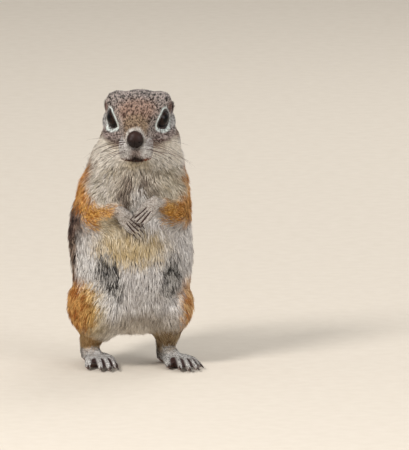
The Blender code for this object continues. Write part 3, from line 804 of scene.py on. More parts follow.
def bendTufts(hairs, chance):
    # each tuft's three stations: root, middle and tip
    count = len(hairs["root"])
    normal = hairs["normal"]
    lay = unit(acrossTo(hairs["lay"], normal))
    length, width, lift = hairs["size"].T
    clump = byNode(hairs["label"], coatSettings["clumpOfNode"])
    noise.seed_set(coatSettings["seed"])
    finely = coatSettings["waves"]
    wave = np.array([noise.noise_vector(Vector(root) * finely)[:] for root in hairs["root"].tolist()])
    yaw = chance.normal(0, coatSettings["yawSpread"], count) + wave[:, 0] * coatSettings["waveTurn"]
    yaw = np.radians(yaw)
    across = np.cross(normal, lay)
    way = lay * np.cos(yaw)[:, None] + across * np.sin(yaw)[:, None]
    across = np.cross(normal, way)
    length = length * mm * (1 + coatSettings["lengthSpread"] * chance.uniform(-1, 1, count))
    length *= 1 + coatSettings["waveLength"] * wave[:, 1]
    lift = np.radians(lift * chance.uniform(*coatSettings["liftSpread"], count))
    low = way * np.cos(lift)[:, None] + normal * np.sin(lift)[:, None]
    flat = lift * coatSettings["tipLift"]
    high = way * np.cos(flat)[:, None] + normal * np.sin(flat)[:, None]
    sunk = np.minimum(coatSettings["rootDepth"] * mm, length * np.sin(lift) * 0.3)
    root = hairs["root"] - normal * sunk[:, None]
    middle = root + low * (length * 0.5)[:, None]
    tip = middle + high * (length * 0.5)[:, None]

    # neighbours lean together into locks
    nearest = leadersOf(hairs["root"], coatSettings["clumpSpacing"], chance)
    near = np.linalg.norm(root - root[nearest], axis=1) < coatSettings["clumpReach"] * mm
    pull = (clump * near * chance.uniform(*coatSettings["clumpSpread"], count))[:, None]
    tip = tip + (tip[nearest] - tip) * pull
    middle = middle + (middle[nearest] - middle) * pull * 0.45

    roll = np.radians(chance.normal(0, coatSettings["rollSpread"], count))
    lock = byNode(hairs["label"], coatSettings["lockTone"])
    lock *= 1 - 0.7 * ramp(normal[:, 1], -0.3, 0.3)  # the back is grizzled hair by hair
    onFace = byNode(hairs["label"], {"head": 1, "": 0}) > 0
    others = np.random.default_rng(coatSettings["seed"] + 1)
    ticks = leadersOf(hairs["root"], coatSettings["tickSpacing"], others)
    mates = np.where(onFace, ticks, nearest)
    own = chance.random(count)
    tone = np.stack([own[mates] * lock + chance.random(count) * (1 - lock), chance.random(count)], 1)
    half = width * mm * chance.uniform(*coatSettings["widthSpread"], count)
    return (root, middle, tip), across, normal, half, roll, tone


def makeCoat():
    chance = np.random.default_rng(coatSettings["seed"])
    hairs = plantRoots(chance)
    stations, across, normal, half, roll, tone = bendTufts(hairs, chance)
    blade, triangles = shapeTuft()
    count = len(half)
    level = np.rint(blade[:, 2] * 2).astype(int)
    ways = (unit(stations[1] - stations[0]), unit(stations[2] - stations[0]), unit(stations[2] - stations[1]))
    points = np.empty((count, len(blade), 3), np.float32)
    for corner, (x, y, z) in enumerate(blade):
        way = ways[level[corner]]
        out = unit(np.cross(way, across))
        wide = np.cross(out, way)
        turned = wide * np.cos(roll)[:, None] + out * np.sin(roll)[:, None]
        thick = np.cross(way, turned)
        offset = turned * (x * half)[:, None] + thick * (y * half * coatSettings["flatten"])[:, None]
        points[:, corner] = stations[level[corner]] + offset
    points[:, :, 2] = np.maximum(points[:, :, 2], coatSettings["offFloor"] * mm)
    print("coat:", count * len(triangles), "triangles of hair")

    around = np.arctan2(blade[:, 1], blade[:, 0])
    reach = np.array(coatSettings["patch"])[level]
    patch = np.stack([np.cos(around), np.sin(around)], 1) * reach[:, None]
    groups = byNode(hairs["label"], coatSettings["pieces"])
    pieces = []
    for group in sorted(set(coatSettings["pieces"].values())):
        mine = np.flatnonzero(groups == group)
        mine = mine[np.argsort(hairs["root"][mine, 2])]
        shares = np.array_split(mine, math.ceil(len(mine) / coatSettings["mostInPiece"]))
        for number, part in enumerate(shares, 1):
            own = {key: value[part] for key, value in hairs.items()}
            name = f"coat_{group}_{number}"
            pieces.append(makeCoatPiece(name, points[part], triangles, own, tone[part], level, patch))
            print(name, len(part), "tufts")
    return pieces


def makeCoatPiece(name, points, triangles, hairs, tone, level, patch):
    count, size = points.shape[:2]
    faces = (np.arange(count)[:, None, None] * size + triangles).reshape(-1, 3)
    mesh = bpy.data.meshes.new(name)
    mesh.vertices.add(count * size)
    mesh.vertices.foreach_set("co", points.ravel())
    mesh.loops.add(faces.size)
    mesh.loops.foreach_set("vertex_index", faces.astype(np.int32).ravel())
    mesh.polygons.add(len(faces))
    mesh.polygons.foreach_set("loop_start", np.arange(0, faces.size, 3, dtype=np.int32))
    mesh.update(calc_edges=True)
    mesh.shade_smooth()
    addAttribute(mesh, "tuftRoot", np.repeat(hairs["root"], size, 0))
    addAttribute(mesh, "tuftTone", np.column_stack([np.repeat(tone, size, 0), np.tile(level / 2, count)]))
    addAttribute(mesh, "eyeRing", np.repeat(hairs["ring"], size))
    places = np.clip(hairs["map"][:, None] + patch, 0, 1).reshape(-1, 2)
    layer = mesh.uv_layers.new(name="OFBake")
    layer.uv.foreach_set("vector", places[faces.ravel()].astype(np.float32).ravel())
    soft = np.repeat(hairs["normal"], size, 0)
    share = coatSettings["softness"]
    mesh.normals_split_custom_set_from_vertices(unit(normalsOf(mesh) * (1 - share) + soft * share).tolist())
    piece = inScene(name, mesh)
    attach(piece, "root")
    return piece


coat = makeCoat()


# node helpers: a value may be a socket, a number or a colour

def addNode(tree, kind, **settings):
    node = tree.nodes.new("ShaderNode" + kind)
    for key, value in settings.items():
        setattr(node, key, value)
    return node


def feed(tree, socket, value):
    if isinstance(value, bpy.types.NodeSocket):
        tree.links.new(value, socket)
    else:
        socket.default_value = value


def feedAll(tree, sockets, values):
    for socket, value in zip(sockets, values):
        feed(tree, socket, value)


def maths(tree, operation, *values):
    node = addNode(tree, "Math", operation=operation)
    feedAll(tree, node.inputs, values)
    return node.outputs[0]


def vectors(tree, operation, *values):
    node = addNode(tree, "VectorMath", operation=operation)
    feedAll(tree, node.inputs, values)
    return node.outputs["Value" if operation in ("LENGTH", "DOT_PRODUCT") else "Vector"]


def scaled(tree, vector, factor):
    node = addNode(tree, "VectorMath", operation="SCALE")
    feedAll(tree, (node.inputs[0], node.inputs["Scale"]), (vector, factor))
    return node.outputs["Vector"]


def split(tree, vector):
    node = addNode(tree, "SeparateXYZ")
    feed(tree, node.inputs[0], vector)
    return node.outputs


def smoothStep(tree, value, low, high, start=0.0, end=1.0):
    node = addNode(tree, "MapRange", interpolation_type="SMOOTHSTEP")
    feedAll(tree, node.inputs, (value, low, high, start, end))
    return node.outputs[0]


def mixed(tree, factor, first, second):
    node = addNode(tree, "Mix", data_type="RGBA")
    feedAll(tree, (node.inputs[0], node.inputs[6], node.inputs[7]), (factor, first, second))
    return node.outputs[2]


def toned(tree, factor, darkAndPale):
    return mixed(tree, factor, *(srgb(*colour) for colour in darkAndPale))


def attribute(tree, name, output="Fac"):
    return addNode(tree, "Attribute", attribute_name=name).outputs[output]


def ownPlace(tree):
    return addNode(tree, "TexCoord").outputs["Object"]


def headPlace(tree, place):
    # a place as distance from the head's middle plane, back and up, in millimetres
    fromHead = vectors(tree, "SUBTRACT", place, tuple(headMiddle))
    axes = [tuple(np.array(axis) / mm) for axis in headAxes.tolist()]
    sideways, back, up = (vectors(tree, "DOT_PRODUCT", fromHead, axis) for axis in axes)
    join = addNode(tree, "CombineXYZ")
    feedAll(tree, join.inputs, (maths(tree, "ABSOLUTE", sideways), back, up))
    return join.outputs[0], up


def makeGroup(name, inputs, outputs):
    tree = bpy.data.node_groups.new(name, "ShaderNodeTree")
    for way, sockets in (("INPUT", inputs), ("OUTPUT", outputs)):
        for socket, kind in sockets.items():
            tree.interface.new_socket(socket, in_out=way, socket_type="NodeSocket" + kind)
    return tree, tree.nodes.new("NodeGroupInput").outputs, tree.nodes.new("NodeGroupOutput").inputs


def useGroup(tree, group, **values):
    node = addNode(tree, "Group", node_tree=group)
    for key, value in values.items():
        feed(tree, node.inputs[key], value)
    return node.outputs


def startMaterial(name, **settings):
    material = bpy.data.materials.new(name)
    material.use_nodes = True
    shader = material.node_tree.nodes["Principled BSDF"]
    for key, value in settings.items():
        shader.inputs[key.replace("_", " ")].default_value = value
    return material, material.node_tree, shader


def grain(tree, place, scale, detail=3.0):
    node = addNode(tree, "TexNoise")
    feed(tree, node.inputs["Vector"], place)
    node.inputs["Scale"].default_value = scale
    node.inputs["Detail"].default_value = detail
    return node.outputs


def speckled(name, scale, darkAndPale, **settings):
    # a material that goes from its dark colour to its pale one with a fine grain
    material, tree, shader = startMaterial(name, **settings)
    fleck = grain(tree, ownPlace(tree), scale)["Fac"]
    feed(tree, shader.inputs["Base Color"], toned(tree, fleck, darkAndPale))
    return material, tree, shader, fleck


def raised(tree, shader, height, strength, distance):
    node = addNode(tree, "Bump")
    node.inputs["Strength"].default_value = strength
    node.inputs["Distance"].default_value = distance
    feed(tree, node.inputs["Height"], height)
    feed(tree, shader.inputs["Normal"], node.outputs[0])


# markings: each is a soft blob of two hair colours, in millimetres; some are painted shade, painted shadow or
# painted light
# on the head: sideways (both sides alike), back, up from the middle between the eyes
headMarks = {
    "crown": ((0, 4, 3), (25, 22, 14), 0.12, (30, 21, 18), (180, 166, 158)),
    "forehead": ((0, -8, 6), (9, 9, 5.5), 0.35, (62, 37, 27), (174, 144, 126)),
    "bridge": ((0, -15, 0), (6.5, 9, 5.0), 0.3, (66, 46, 32), (162, 138, 112)),
    "temple": ((18, 3, -2), (5, 7, 7), 0.3, (104, 99, 97), (178, 176, 174)),
    "cheek": ((12, -5, -6.8), (6.5, 10, 2.6), 0.3, (56, 38, 32), (168, 152, 146)),
    "jaw": ((12, 0, -15), (10, 9, 6), 0.25, (204, 194, 180), (228, 220, 208)),
    "muzzle": ((5, -15, -9.5), (8, 9, 4.4), 0.3, (158, 152, 148), (212, 208, 204)),
    # painted shadow under the nose
    "underNose": ((0, -17, -11), (2.4, 7, 3.2), 0.5, (120, 104, 98), (170, 157, 151)),
    "chin": ((0, -10, -18), (7, 6, 2.6), 0.3, (192, 176, 148), (212, 198, 174)),
    # painted shadow under the nose, darkest in a narrow strip just over the mouth
    "smudge": ((0, -16, -13.2), (1.4, 8, 1.5), 0.5, (66, 50, 46), (132, 114, 106)),
    "lips": ((0, -12, -13.9), (8.4, 8, 1.4), 0.3, (66, 29, 14), (132, 70, 38)),
    "lipMiddle": ((0, -14, -13.9), (3.4, 8, 2.1), 0.4, (20, 10, 8), (38, 21, 16)),
    "earShade": ((14.6, 0, 3.2), (1.9, 9, 2.8), 0.4, (48, 28, 24), (124, 92, 82)),
    "noseRim": ((0, -15.4, -4.3), (4.2, 4.6, 4.2), 0.12, (150, 138, 128), (214, 208, 200)),
}
# on the body: left, back, up from the middle of the trunk
bodyMarks = {
    "throat": ((1, -18, 42), (19, 16, 8), 0.25, (186, 170, 146), (206, 192, 170)),
    # painted shadow on both sides of the throat
    "throatShadeRight": ((-7, -14, 39), (5.5, 14, 4), 0.45, (132, 118, 92), (170, 156, 132)),
    "throatShadeLeft": ((14.5, -12, 39), (5, 14, 4), 0.45, (132, 120, 96), (170, 156, 134)),
    # painted shade: the chest darker than the throat and the underside
    "chest": ((2, -18, 33), (17, 14, 10), 0.4, (166, 154, 138), (200, 189, 173)),
    # painted shade: greyer patches either side of the middle of the chest
    "breastRight": ((-4, -18, 32), (7, 12, 5), 0.45, (132, 119, 104), (180, 168, 152)),
    "breastLeft": ((8.5, -18, 32), (5.5, 12, 4.5), 0.45, (132, 119, 104), (180, 168, 152)),
    "veeRight": ((-0.2, -18, 34), (1.2, 12, 4.2), 0.4, (80, 66, 56), (144, 128, 114)),
    "veeRightLow": ((-3.4, -18, 29), (1.6, 12, 2.6), 0.4, (84, 70, 60), (150, 134, 120)),
    "veeLeft": ((5.2, -18, 34), (1.2, 12, 4.0), 0.4, (80, 66, 56), (144, 128, 114)),
    "breastTuft": ((2.8, -18, 27.5), (2.6, 12, 6), 0.35, (196, 188, 180), (228, 222, 214)),
    "shoulderRight": ((-18.6, -9, 31), (4.8, 13, 12), 0.35, (164, 100, 36), (207, 152, 84)),
    "armRight": ((-12.8, -18, 20.3), (9.4, 14, 5.7), 0.35, (152, 92, 28), (215, 162, 82)),
    "armLeft": ((19.5, -16, 23), (6.5, 16, 6.6), 0.35, (158, 98, 30), (212, 160, 80)),
    "shoulderLeft": ((24.6, -8, 32), (5.0, 18, 14), 0.35, (156, 98, 42), (204, 150, 88)),
    "ruffRight": ((-11, -14, 32.5), (5.6, 12, 9.5), 0.4, (178, 168, 152), (210, 201, 190)),
    "ruffLeft": ((16.5, -12, 32.5), (5.6, 12, 9), 0.4, (168, 155, 134), (198, 187, 168)),
    "belt": ((0, -21, 8.0), (16, 15, 7), 0.5, (186, 164, 124), (208, 190, 158)),
    "flankRight": ((-18.5, -14, -3), (5, 9, 11.5), 0.45, (208, 204, 200), (230, 227, 224)),
    "patchRight": ((-10.0, -20, -1.5), (5.0, 14, 6.5), 0.5, (36, 33, 32), (184, 180, 175)),
    "patchRightLow": ((-6.4, -20, -8.5), (4.4, 14, 5.6), 0.5, (50, 46, 44), (198, 194, 189)),
    "patchRightCore": ((-9.6, -20, -1), (3.0, 14, 4.8), 0.6, (26, 24, 24), (146, 142, 138)),
    "patchLeft": ((17.0, -14, -5), (4.2, 14, 8.5), 0.5, (48, 44, 41), (186, 181, 176)),
    "patchLeftCore": ((17.0, -14, -2.5), (2, 14, 4.4), 0.6, (50, 47, 44), (156, 152, 147)),
    "loins": ((2, -14, -29), (20, 22, 9), 0.4, (172, 160, 146), (192, 181, 167)),
    # painted light: near white under the belly, where the body shades itself
    "crotch": ((2, -14, -31.8), (15, 20, 5.5), 0.35, (226, 214, 198), (240, 232, 220)),
    "haunchRight": ((-16, -14, -22), (7, 18, 12), 0.5, (182, 165, 134), (216, 201, 172)),
    "thighFringe": ((-17.5, -12, -19), (5, 22, 11), 0.4, (160, 119, 60), (210, 171, 108)),
    "thighRight": ((-24, -6, -20), (8.5, 22, 13.5), 0.32, (150, 86, 30), (214, 162, 94)),
    "thighLeft": ((26, -2, -18), (6.4, 22, 12), 0.32, (168, 110, 56), (220, 178, 126)),
    "shankRight": ((-16, 0, -33), (9, 14, 8), 0.3, (166, 124, 72), (206, 174, 128)),
    "shankLeft": ((15.5, 2, -33), (9, 14, 8), 0.3, (132, 104, 70), (184, 160, 126)),
    "forearmRight": ((-8, -18, 16), (7, 12, 5.5), 0.3, (180, 162, 132), (212, 198, 172)),
    # painted shadow in the gap at the top of the right forearm
    "elbowGap": ((-2.6, -17, 25.6), (2.6, 8, 1.8), 0.5, (70, 56, 45), (128, 112, 97)),
    "handRight": ((-1.5, -25, 18.5), (6.5, 6, 6.5), 0.25, (100, 89, 81), (190, 183, 176)),
    "handLeft": ((7, -26.5, 23.5), (7.5, 5.5, 7.5), 0.25, (100, 89, 81), (192, 185, 178)),
    "footRight": ((-13, -8, -45.5), (12, 24, 6.6), 0.45, (122, 113, 107), (236, 234, 231)),
    "footLeft": ((21, -8, -45.5), (13, 24, 6.6), 0.45, (84, 77, 73), (222, 219, 214)),
    "sideRight": ((-31, -4, 19.5), (9.8, 40, 13), 0.15, (40, 26, 21), (112, 88, 79)),
    "sideRightLow": ((-32.5, -4, -2), (6.6, 40, 15), 0.2, (46, 30, 24), (124, 98, 86)),
    "tail": ((-10, 29, -1), (14, 10.5, 46), 0.1, (52, 44, 40), (190, 182, 174)),
    "tailUnder": ((-9.5, 34.5, -2), (5.5, 5.5, 30), 0.35, (206, 202, 196), (222, 220, 216)),
    "tailEnd": ((-10, 32, 33), (11, 12, 7), 0.3, (44, 38, 36), (74, 66, 62)),
}
coatColours = {
    "back": ((52, 36, 29), (156, 134, 118)),
    "under": ((191, 185, 181), (216, 211, 207)),
    "stripe": ((214, 208, 198), (226, 222, 214)),
    "underAngle": 79.0,  # from the front round to the edge of the white underside, degrees
    "eyeRing": ((196, 204, 200), (234, 240, 237)),
    "stripeAngle": 114.0,
    "stripeWidth": 6.5,
    "warp": 3.2,  # how far the edges of the markings wander, millimetres
    "faceWarp": 0.25,  # share of both on the head
    "stray": 4.0,  # how far single tufts stray over them
}


def makeBlobMask():
    sockets = {"Place": "Vector", "Centre": "Vector", "Radii": "Vector", "Soft": "Float"}
    tree, given, made = makeGroup("blobMask", sockets, {"Mask": "Float"})
    off = vectors(tree, "DIVIDE", vectors(tree, "SUBTRACT", given["Place"], given["Centre"]), given["Radii"])
    inner = maths(tree, "SUBTRACT", 1.0, given["Soft"])
    outer = maths(tree, "ADD", 1.0, given["Soft"])
    feed(tree, made["Mask"], smoothStep(tree, vectors(tree, "LENGTH", off), inner, outer, 1.0, 0.0))
    return tree


def makeCoatMarkings():
    sockets = {"Place": "Vector", "Fleck": "Float", "Shade": "Float", "Ring": "Float"}
    tree, given, made = makeGroup("coatMarkings", sockets, {"Color": "Color"})
    wander = grain(tree, given["Place"], 260.0, 2.0)["Color"]
    wander = scaled(tree, vectors(tree, "SUBTRACT", wander, (0.5, 0.5, 0.5)), coatColours["warp"] * mm * 2)
    stray = maths(tree, "MULTIPLY", maths(tree, "SUBTRACT", given["Shade"], 0.5), coatColours["stray"] * mm)
    wander = vectors(tree, "ADD", wander, scaled(tree, (0.5, 0.3, 1.0), stray))
    place = vectors(tree, "ADD", given["Place"], wander)
    facePlace = vectors(tree, "ADD", given["Place"], scaled(tree, wander, coatColours["faceWarp"]))

    body = scaled(tree, vectors(tree, "SUBTRACT", place, tuple(boxMiddle("trunk"))), 1 / mm)
    head, overEyes = headPlace(tree, facePlace)

    # angle round the body, nothing at the front
    turn = math.radians(headShape["hipTurn"])
    ahead = vectors(tree, "DOT_PRODUCT", body, (math.sin(turn), -math.cos(turn), 0))
    aside = vectors(tree, "DOT_PRODUCT", body, (math.cos(turn), math.sin(turn), 0))
    angle = maths(tree, "ABSOLUTE", maths(tree, "ARCTAN2", aside, ahead))
    edge = math.radians(coatColours["underAngle"])
    under = smoothStep(tree, angle, edge - 0.1, edge + 0.1, 1.0, 0.0)
    under = maths(tree, "MULTIPLY", under, smoothStep(tree, overEyes, -12.5, -9.5, 1.0, 0.0))
    off = maths(tree, "ABSOLUTE", maths(tree, "SUBTRACT", angle, math.radians(coatColours["stripeAngle"])))
    half = math.radians(coatColours["stripeWidth"])
    stripe = smoothStep(tree, off, half * 0.6, half * 1.4, 1.0, 0.0)
    height = split(tree, body)[2]
    stripe = maths(tree, "MULTIPLY", stripe, smoothStep(tree, height, -16.0, -8.0))
    stripe = maths(tree, "MULTIPLY", stripe, smoothStep(tree, height, 30.0, 37.0, 1.0, 0.0))

    # two chains of colours, for the dark hairs and for the pale ones
    blob = makeBlobMask()
    chains = [srgb(*colour) for colour in coatColours["back"]]

    def laid(chains, mask, colours):
        return [mixed(tree, mask, chain, srgb(*colour)) for chain, colour in zip(chains, colours)]

    def spotted(chains, space, marks):
        for centre, radii, soft, *colours in marks.values():
            mask = useGroup(tree, blob, Place=space, Centre=centre, Radii=radii, Soft=soft)[0]
            chains = laid(chains, mask, colours)
        return chains

    chains = laid(chains, under, coatColours["under"])
    chains = spotted(chains, body, bodyMarks)
    chains = laid(chains, stripe, coatColours["stripe"])
    chains = spotted(chains, head, headMarks)
    chains = laid(chains, given["Ring"], coatColours["eyeRing"])
    dark = smoothStep(tree, given["Fleck"], 0.36, 0.6)
    colour = mixed(tree, dark, *chains)
    bright = smoothStep(tree, given["Shade"], 0.0, 1.0, 0.84, 1.14)
    feed(tree, made["Color"], scaled(tree, colour, bright))
    return tree, blob


coatMarkings, blobMask = makeCoatMarkings()
print("markings:", len(coatMarkings.nodes), "nodes")

hairFinish = {"roughness": 0.62, "shine": 0.25, "rootShade": 0.62}


def makeHairMaterial():
    material, tree, shader = startMaterial(
        "coatHair", Roughness=hairFinish["roughness"], Specular_IOR_Level=hairFinish["shine"])
    root = attribute(tree, "tuftRoot", "Vector")
    fleck, shade, along = split(tree, attribute(tree, "tuftTone", "Vector"))
    ring = attribute(tree, "eyeRing")
    colour = useGroup(tree, coatMarkings, Place=root, Fleck=fleck, Shade=shade, Ring=ring)[0]
    # painted shade: each tuft is darker towards its root, where the coat around it shades it
    depth = smoothStep(tree, along, 0.0, 0.6, hairFinish["rootShade"], 1.0)
    feed(tree, shader.inputs["Base Color"], scaled(tree, colour, depth))
    return material


skinFinish = {
    "speckleScale": 5200.0, "underHair": 0.72, "bump": 0.35,
    # dark and pale specks of the bare parts
    "mouth": ((38, 20, 15), (80, 46, 34)),
    "hand": ((150, 136, 126), (190, 180, 168)),
    # painted shade: dark in the gaps between the fingers and toes
    "crease": ((38, 22, 20), (62, 40, 36)),
    "ear": ((70, 45, 38), (124, 94, 82)),
    # painted shade: dark in the hollow of the ear
    "earHollow": ((22, 13, 12), (44, 28, 24)),
    "lid": ((34, 24, 22), (60, 46, 42)),
    "sole": ((96, 72, 66), (138, 110, 100)),
}


def makeSkinMaterial():
    # short lying hair between the tufts, darker partly as underfur and partly as painted shade under the
    # coat, and bare skin on the lids, mouth, ears and soles
    material, tree, shader = startMaterial("shortHairAndSkin", Roughness=0.6, Specular_IOR_Level=0.3)
    place = ownPlace(tree)
    head = headPlace(tree, place)[0]
    fine = grain(tree, place, skinFinish["speckleScale"], 2.0)["Fac"]
    fleck = smoothStep(tree, fine, 0.2, 0.8)
    between = smoothStep(tree, fine, 0.0, 1.0, 0.4, 0.56)
    colour = useGroup(
        tree, coatMarkings, Place=place, Fleck=between, Shade=0.5, Ring=attribute(tree, "eyeRing"))[0]
    # painted shade: the short hair under the coat is darkened, partly for the underfur's own tone and partly
    # for the shade of the tufts over it
    colour = scaled(tree, colour, skinFinish["underHair"])

    def blob(centre, radii, soft, space=place):
        return useGroup(tree, blobMask, Place=space, Centre=tuple(centre), Radii=tuple(radii), Soft=soft)[0]

    hands = [blob(boxMiddle("hand_" + side), Vector((8.5, 6.5, 9.0)) * mm, 0.15) for side in sides]
    bareParts = [
        ("mouth", blob((0, -14, skinSettings["mouthHeight"] + 0.1), (6.6, 9, 1.0), 0.4, head)),
        ("hand", maths(tree, "MAXIMUM", *hands)),
        # painted shade in the gaps between the fingers and toes
        ("crease", smoothStep(tree, attribute(tree, "crease"), 0.25, 0.75)),
    ]
    for side in sides:
        middle, ahead = boxMiddle("ear_" + side), headFront * mm
        bareParts.append(("ear", blob(middle + ahead * 1.2, Vector((3.0, 3.2, 3.6)) * mm, 0.3)))
        # painted shade in the hollow of each ear
        bareParts.append(("earHollow", blob(middle + ahead * 0.4, Vector((2.6, 1.7, 2.1)) * mm, 0.5)))
    bareParts.append(("lid", attribute(tree, "lidEdge")))
    bareParts.append(("sole", smoothStep(tree, split(tree, place)[2], 1.2 * mm, 2.4 * mm, 1.0, 0.0)))
    for part, mask in bareParts:
        colour = mixed(tree, mask, colour, toned(tree, fleck, skinFinish[part]))
    feed(tree, shader.inputs["Base Color"], colour)
    raised(tree, shader, fine, skinFinish["bump"], 0.3 * mm)
    return material


hairMaterial = makeHairMaterial()
for piece in coat:
    piece.data.materials.append(hairMaterial)
skin.data.materials.append(makeSkinMaterial())


# eyes: glossy dark globes with a slightly raised cornea, and a moist dark rim along the lids
eyeSettings = {
    "segments": 64, "rings": 40,
    "cornea": 0.05, "corneaAngle": 42.0,  # how far it stands out, as a share, and its reach in degrees
    "rim": 0.2, "rimStand": 0.22,  # thickness of the rim and its height over the globe, millimetres
    "pupilEdge": (0.86, 0.88), "irisEdge": (0.70, 0.76),  # soft edges, from 0 at the back to 1 in front
    "iris": ((20, 11, 8), (36, 20, 13)), "pupil": (6, 4, 4), "roundIris": (14, 9, 8),
    "rimColours": ((24, 17, 15), (52, 39, 35)),
}


def towards(axis):
    return axis.to_track_quat("Z", "Y").to_euler()


def makeEye(side):
    bpy.ops.mesh.primitive_uv_sphere_add(
        segments=eyeSettings["segments"], ring_count=eyeSettings["rings"], radius=eyeRadius,
        location=eyeMiddles[side], rotation=towards(eyeAxis(side)))
    eye = bpy.context.object
    nameBoth(eye, "eyeball_" + side)
    settle(eye)
    middle = np.array(eyeMiddles[side])
    away = pointsOf(eye.data) - middle
    lean = np.degrees(np.arccos(np.clip(unit(away) @ np.array(eyeAxis(side)), -1, 1)))
    bulge = 1 + eyeSettings["cornea"] * (1 - ramp(lean, 0, eyeSettings["corneaAngle"]))
    movePoints(eye.data, middle + away * bulge[:, None] * 0.995)
    eye.data.shade_smooth()
    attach(eye, "root")
    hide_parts("eye_" + side)
    return eye


def makeLidRim(side):
    # a thin ring, pushed onto the edge of the lids
    bpy.ops.mesh.primitive_torus_add(
        major_segments=96, minor_segments=10, major_radius=eyeRadius, minor_radius=eyeSettings["rim"] * mm,
        location=eyeMiddles[side], rotation=towards(eyeAxis(side)))
    rim = bpy.context.object
    nameBoth(rim, "lid_rim_" + side)
    settle(rim)
    middle, axis = np.array(eyeMiddles[side]), np.array(eyeAxis(side))
    away = pointsOf(rim.data) - middle
    flat = acrossTo(away, axis)
    core = middle + unit(flat) * eyeRadius  # the ring's own centre line
    edge = aroundEye(core, side)[3]
    onEdge = unit(flat) * np.sin(edge)[:, None] + axis * np.cos(edge)[:, None]
    outward = (np.linalg.norm(flat, axis=1) - eyeRadius)[:, None] * onEdge
    slant = unit(unit(flat) * np.cos(edge)[:, None] - axis * np.sin(edge)[:, None])
    stand = eyeRadius + eyeSettings["rimStand"] * mm
    movePoints(rim.data, middle + onEdge * stand + outward - slant * (away @ axis)[:, None])
    faceOutwards(rim)
    rim.data.shade_smooth()
    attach(rim, "root")
    return rim


def makeEyeMaterial():
    material, tree, shader = startMaterial(
        "eyeGloss", Roughness=0.12, Specular_IOR_Level=0.08, Coat_Weight=0.14, Coat_Roughness=0.03)
    towardsFront = split(tree, addNode(tree, "TexCoord").outputs["UV"])[1]
    fibres = grain(tree, ownPlace(tree), 1500.0)["Fac"]
    iris = toned(tree, smoothStep(tree, fibres, 0.35, 0.65), eyeSettings["iris"])
    pupil = smoothStep(tree, towardsFront, *eyeSettings["pupilEdge"])
    inIris = smoothStep(tree, towardsFront, *eyeSettings["irisEdge"])
    colour = mixed(tree, inIris, srgb(*eyeSettings["roundIris"]), iris)
    feed(tree, shader.inputs["Base Color"], mixed(tree, pupil, colour, srgb(*eyeSettings["pupil"])))
    feed(tree, shader.inputs["Roughness"], smoothStep(tree, fibres, 0.3, 0.7, 0.08, 0.16))
    return material


def makeRimMaterial():
    material, tree, shader, wrinkle = speckled(
        "lidRim", 2200.0, eyeSettings["rimColours"], Roughness=0.35, Specular_IOR_Level=0.5)
    raised(tree, shader, wrinkle, 0.4, 0.2 * mm)
    return material


eyeMaterial = makeEyeMaterial()
rimMaterial = makeRimMaterial()
for side in sides:
    makeEye(side).data.materials.append(eyeMaterial)
    makeLidRim(side).data.materials.append(rimMaterial)
print("eyes made")


# nose pad: a leathery ball with two curled nostrils and a groove
noseSettings = {
    "size": 1.05,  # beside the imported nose
    "nostril": (2.0, -0.7),  # sideways and up from the nose's middle, millimetres
    "nostrilSize": (0.42, 0.24), "nostrilDepth": 0.55, "grooveDepth": 0.35, "grooveWidth": 0.28,
    "wing": 0.28,  # how far the rim over the nostril stands out
    # painted shade below and painted sheen on top of the nose pad
    "leather": ((13, 7, 6), (50, 31, 25)),  # below and on top
}


def makeNose():
    low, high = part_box("nose")
    bpy.ops.mesh.primitive_ico_sphere_add(
        subdivisions=6, radius=1, location=boxMiddle("nose"), scale=(high - low) / 2 * noseSettings["size"])
    nose = bpy.context.object
    nameBoth(nose, "nose_pad")
    settle(nose)
    places = pointsOf(nose.data)
    sideways, back, up = (inHead(places) - inHead(np.array([boxMiddle("nose")]))).T
    forward = back < 0.6
    aside, height = noseSettings["nostril"]
    off = np.abs(sideways) - aside
    wide, tall = noseSettings["nostrilSize"]
    # the nostril curls outwards and up
    inside = np.exp(-(off / wide) ** 2 - ((up - height - 0.5 * np.maximum(off, 0)) / tall) ** 2)
    groove = np.exp(-(sideways / noseSettings["grooveWidth"]) ** 2) * (1 - ramp(up, -0.4, 1.6))
    dent = noseSettings["nostrilDepth"] * inside + noseSettings["grooveDepth"] * groove
    dent -= noseSettings["wing"] * np.exp(-off ** 2 - ((up - height - 0.9) / 0.7) ** 2)
    movePoints(nose.data, places - normalsOf(nose.data) * ((dent * forward + 0.1) * mm)[:, None])
    nose.data.shade_smooth()
    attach(nose, "root")
    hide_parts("nose")
    return nose


def makeNoseMaterial():
    material, tree, shader = startMaterial("noseLeather", Roughness=0.55, Specular_IOR_Level=0.2)
    place = ownPlace(tree)
    cells = addNode(tree, "TexVoronoi")
    feed(tree, cells.inputs["Vector"], place)
    cells.inputs["Scale"].default_value = 2600.0
    blotch = grain(tree, place, 500.0)["Fac"]
    fromMiddle = vectors(tree, "SUBTRACT", place, tuple(boxMiddle("nose")))
    height = vectors(tree, "DOT_PRODUCT", fromMiddle, tuple(headUp / mm))
    # painted sheen: the pad grows paler towards its top, with random blotches, and stays darker below as
    # painted shade
    top = smoothStep(tree, height, -1.5, 3.0, 0.0, 0.75)
    top = maths(tree, "ADD", top, maths(tree, "MULTIPLY", blotch, 0.3))
    feed(tree, shader.inputs["Base Color"], toned(tree, top, noseSettings["leather"]))
    feed(tree, shader.inputs["Roughness"], smoothStep(tree, cells.outputs["Distance"], 0.0, 0.7, 0.62, 0.4))
    raised(tree, shader, cells.outputs["Distance"], 0.35, -0.08 * mm)
    return material


makeNose().data.materials.append(makeNoseMaterial())
print("nose made")


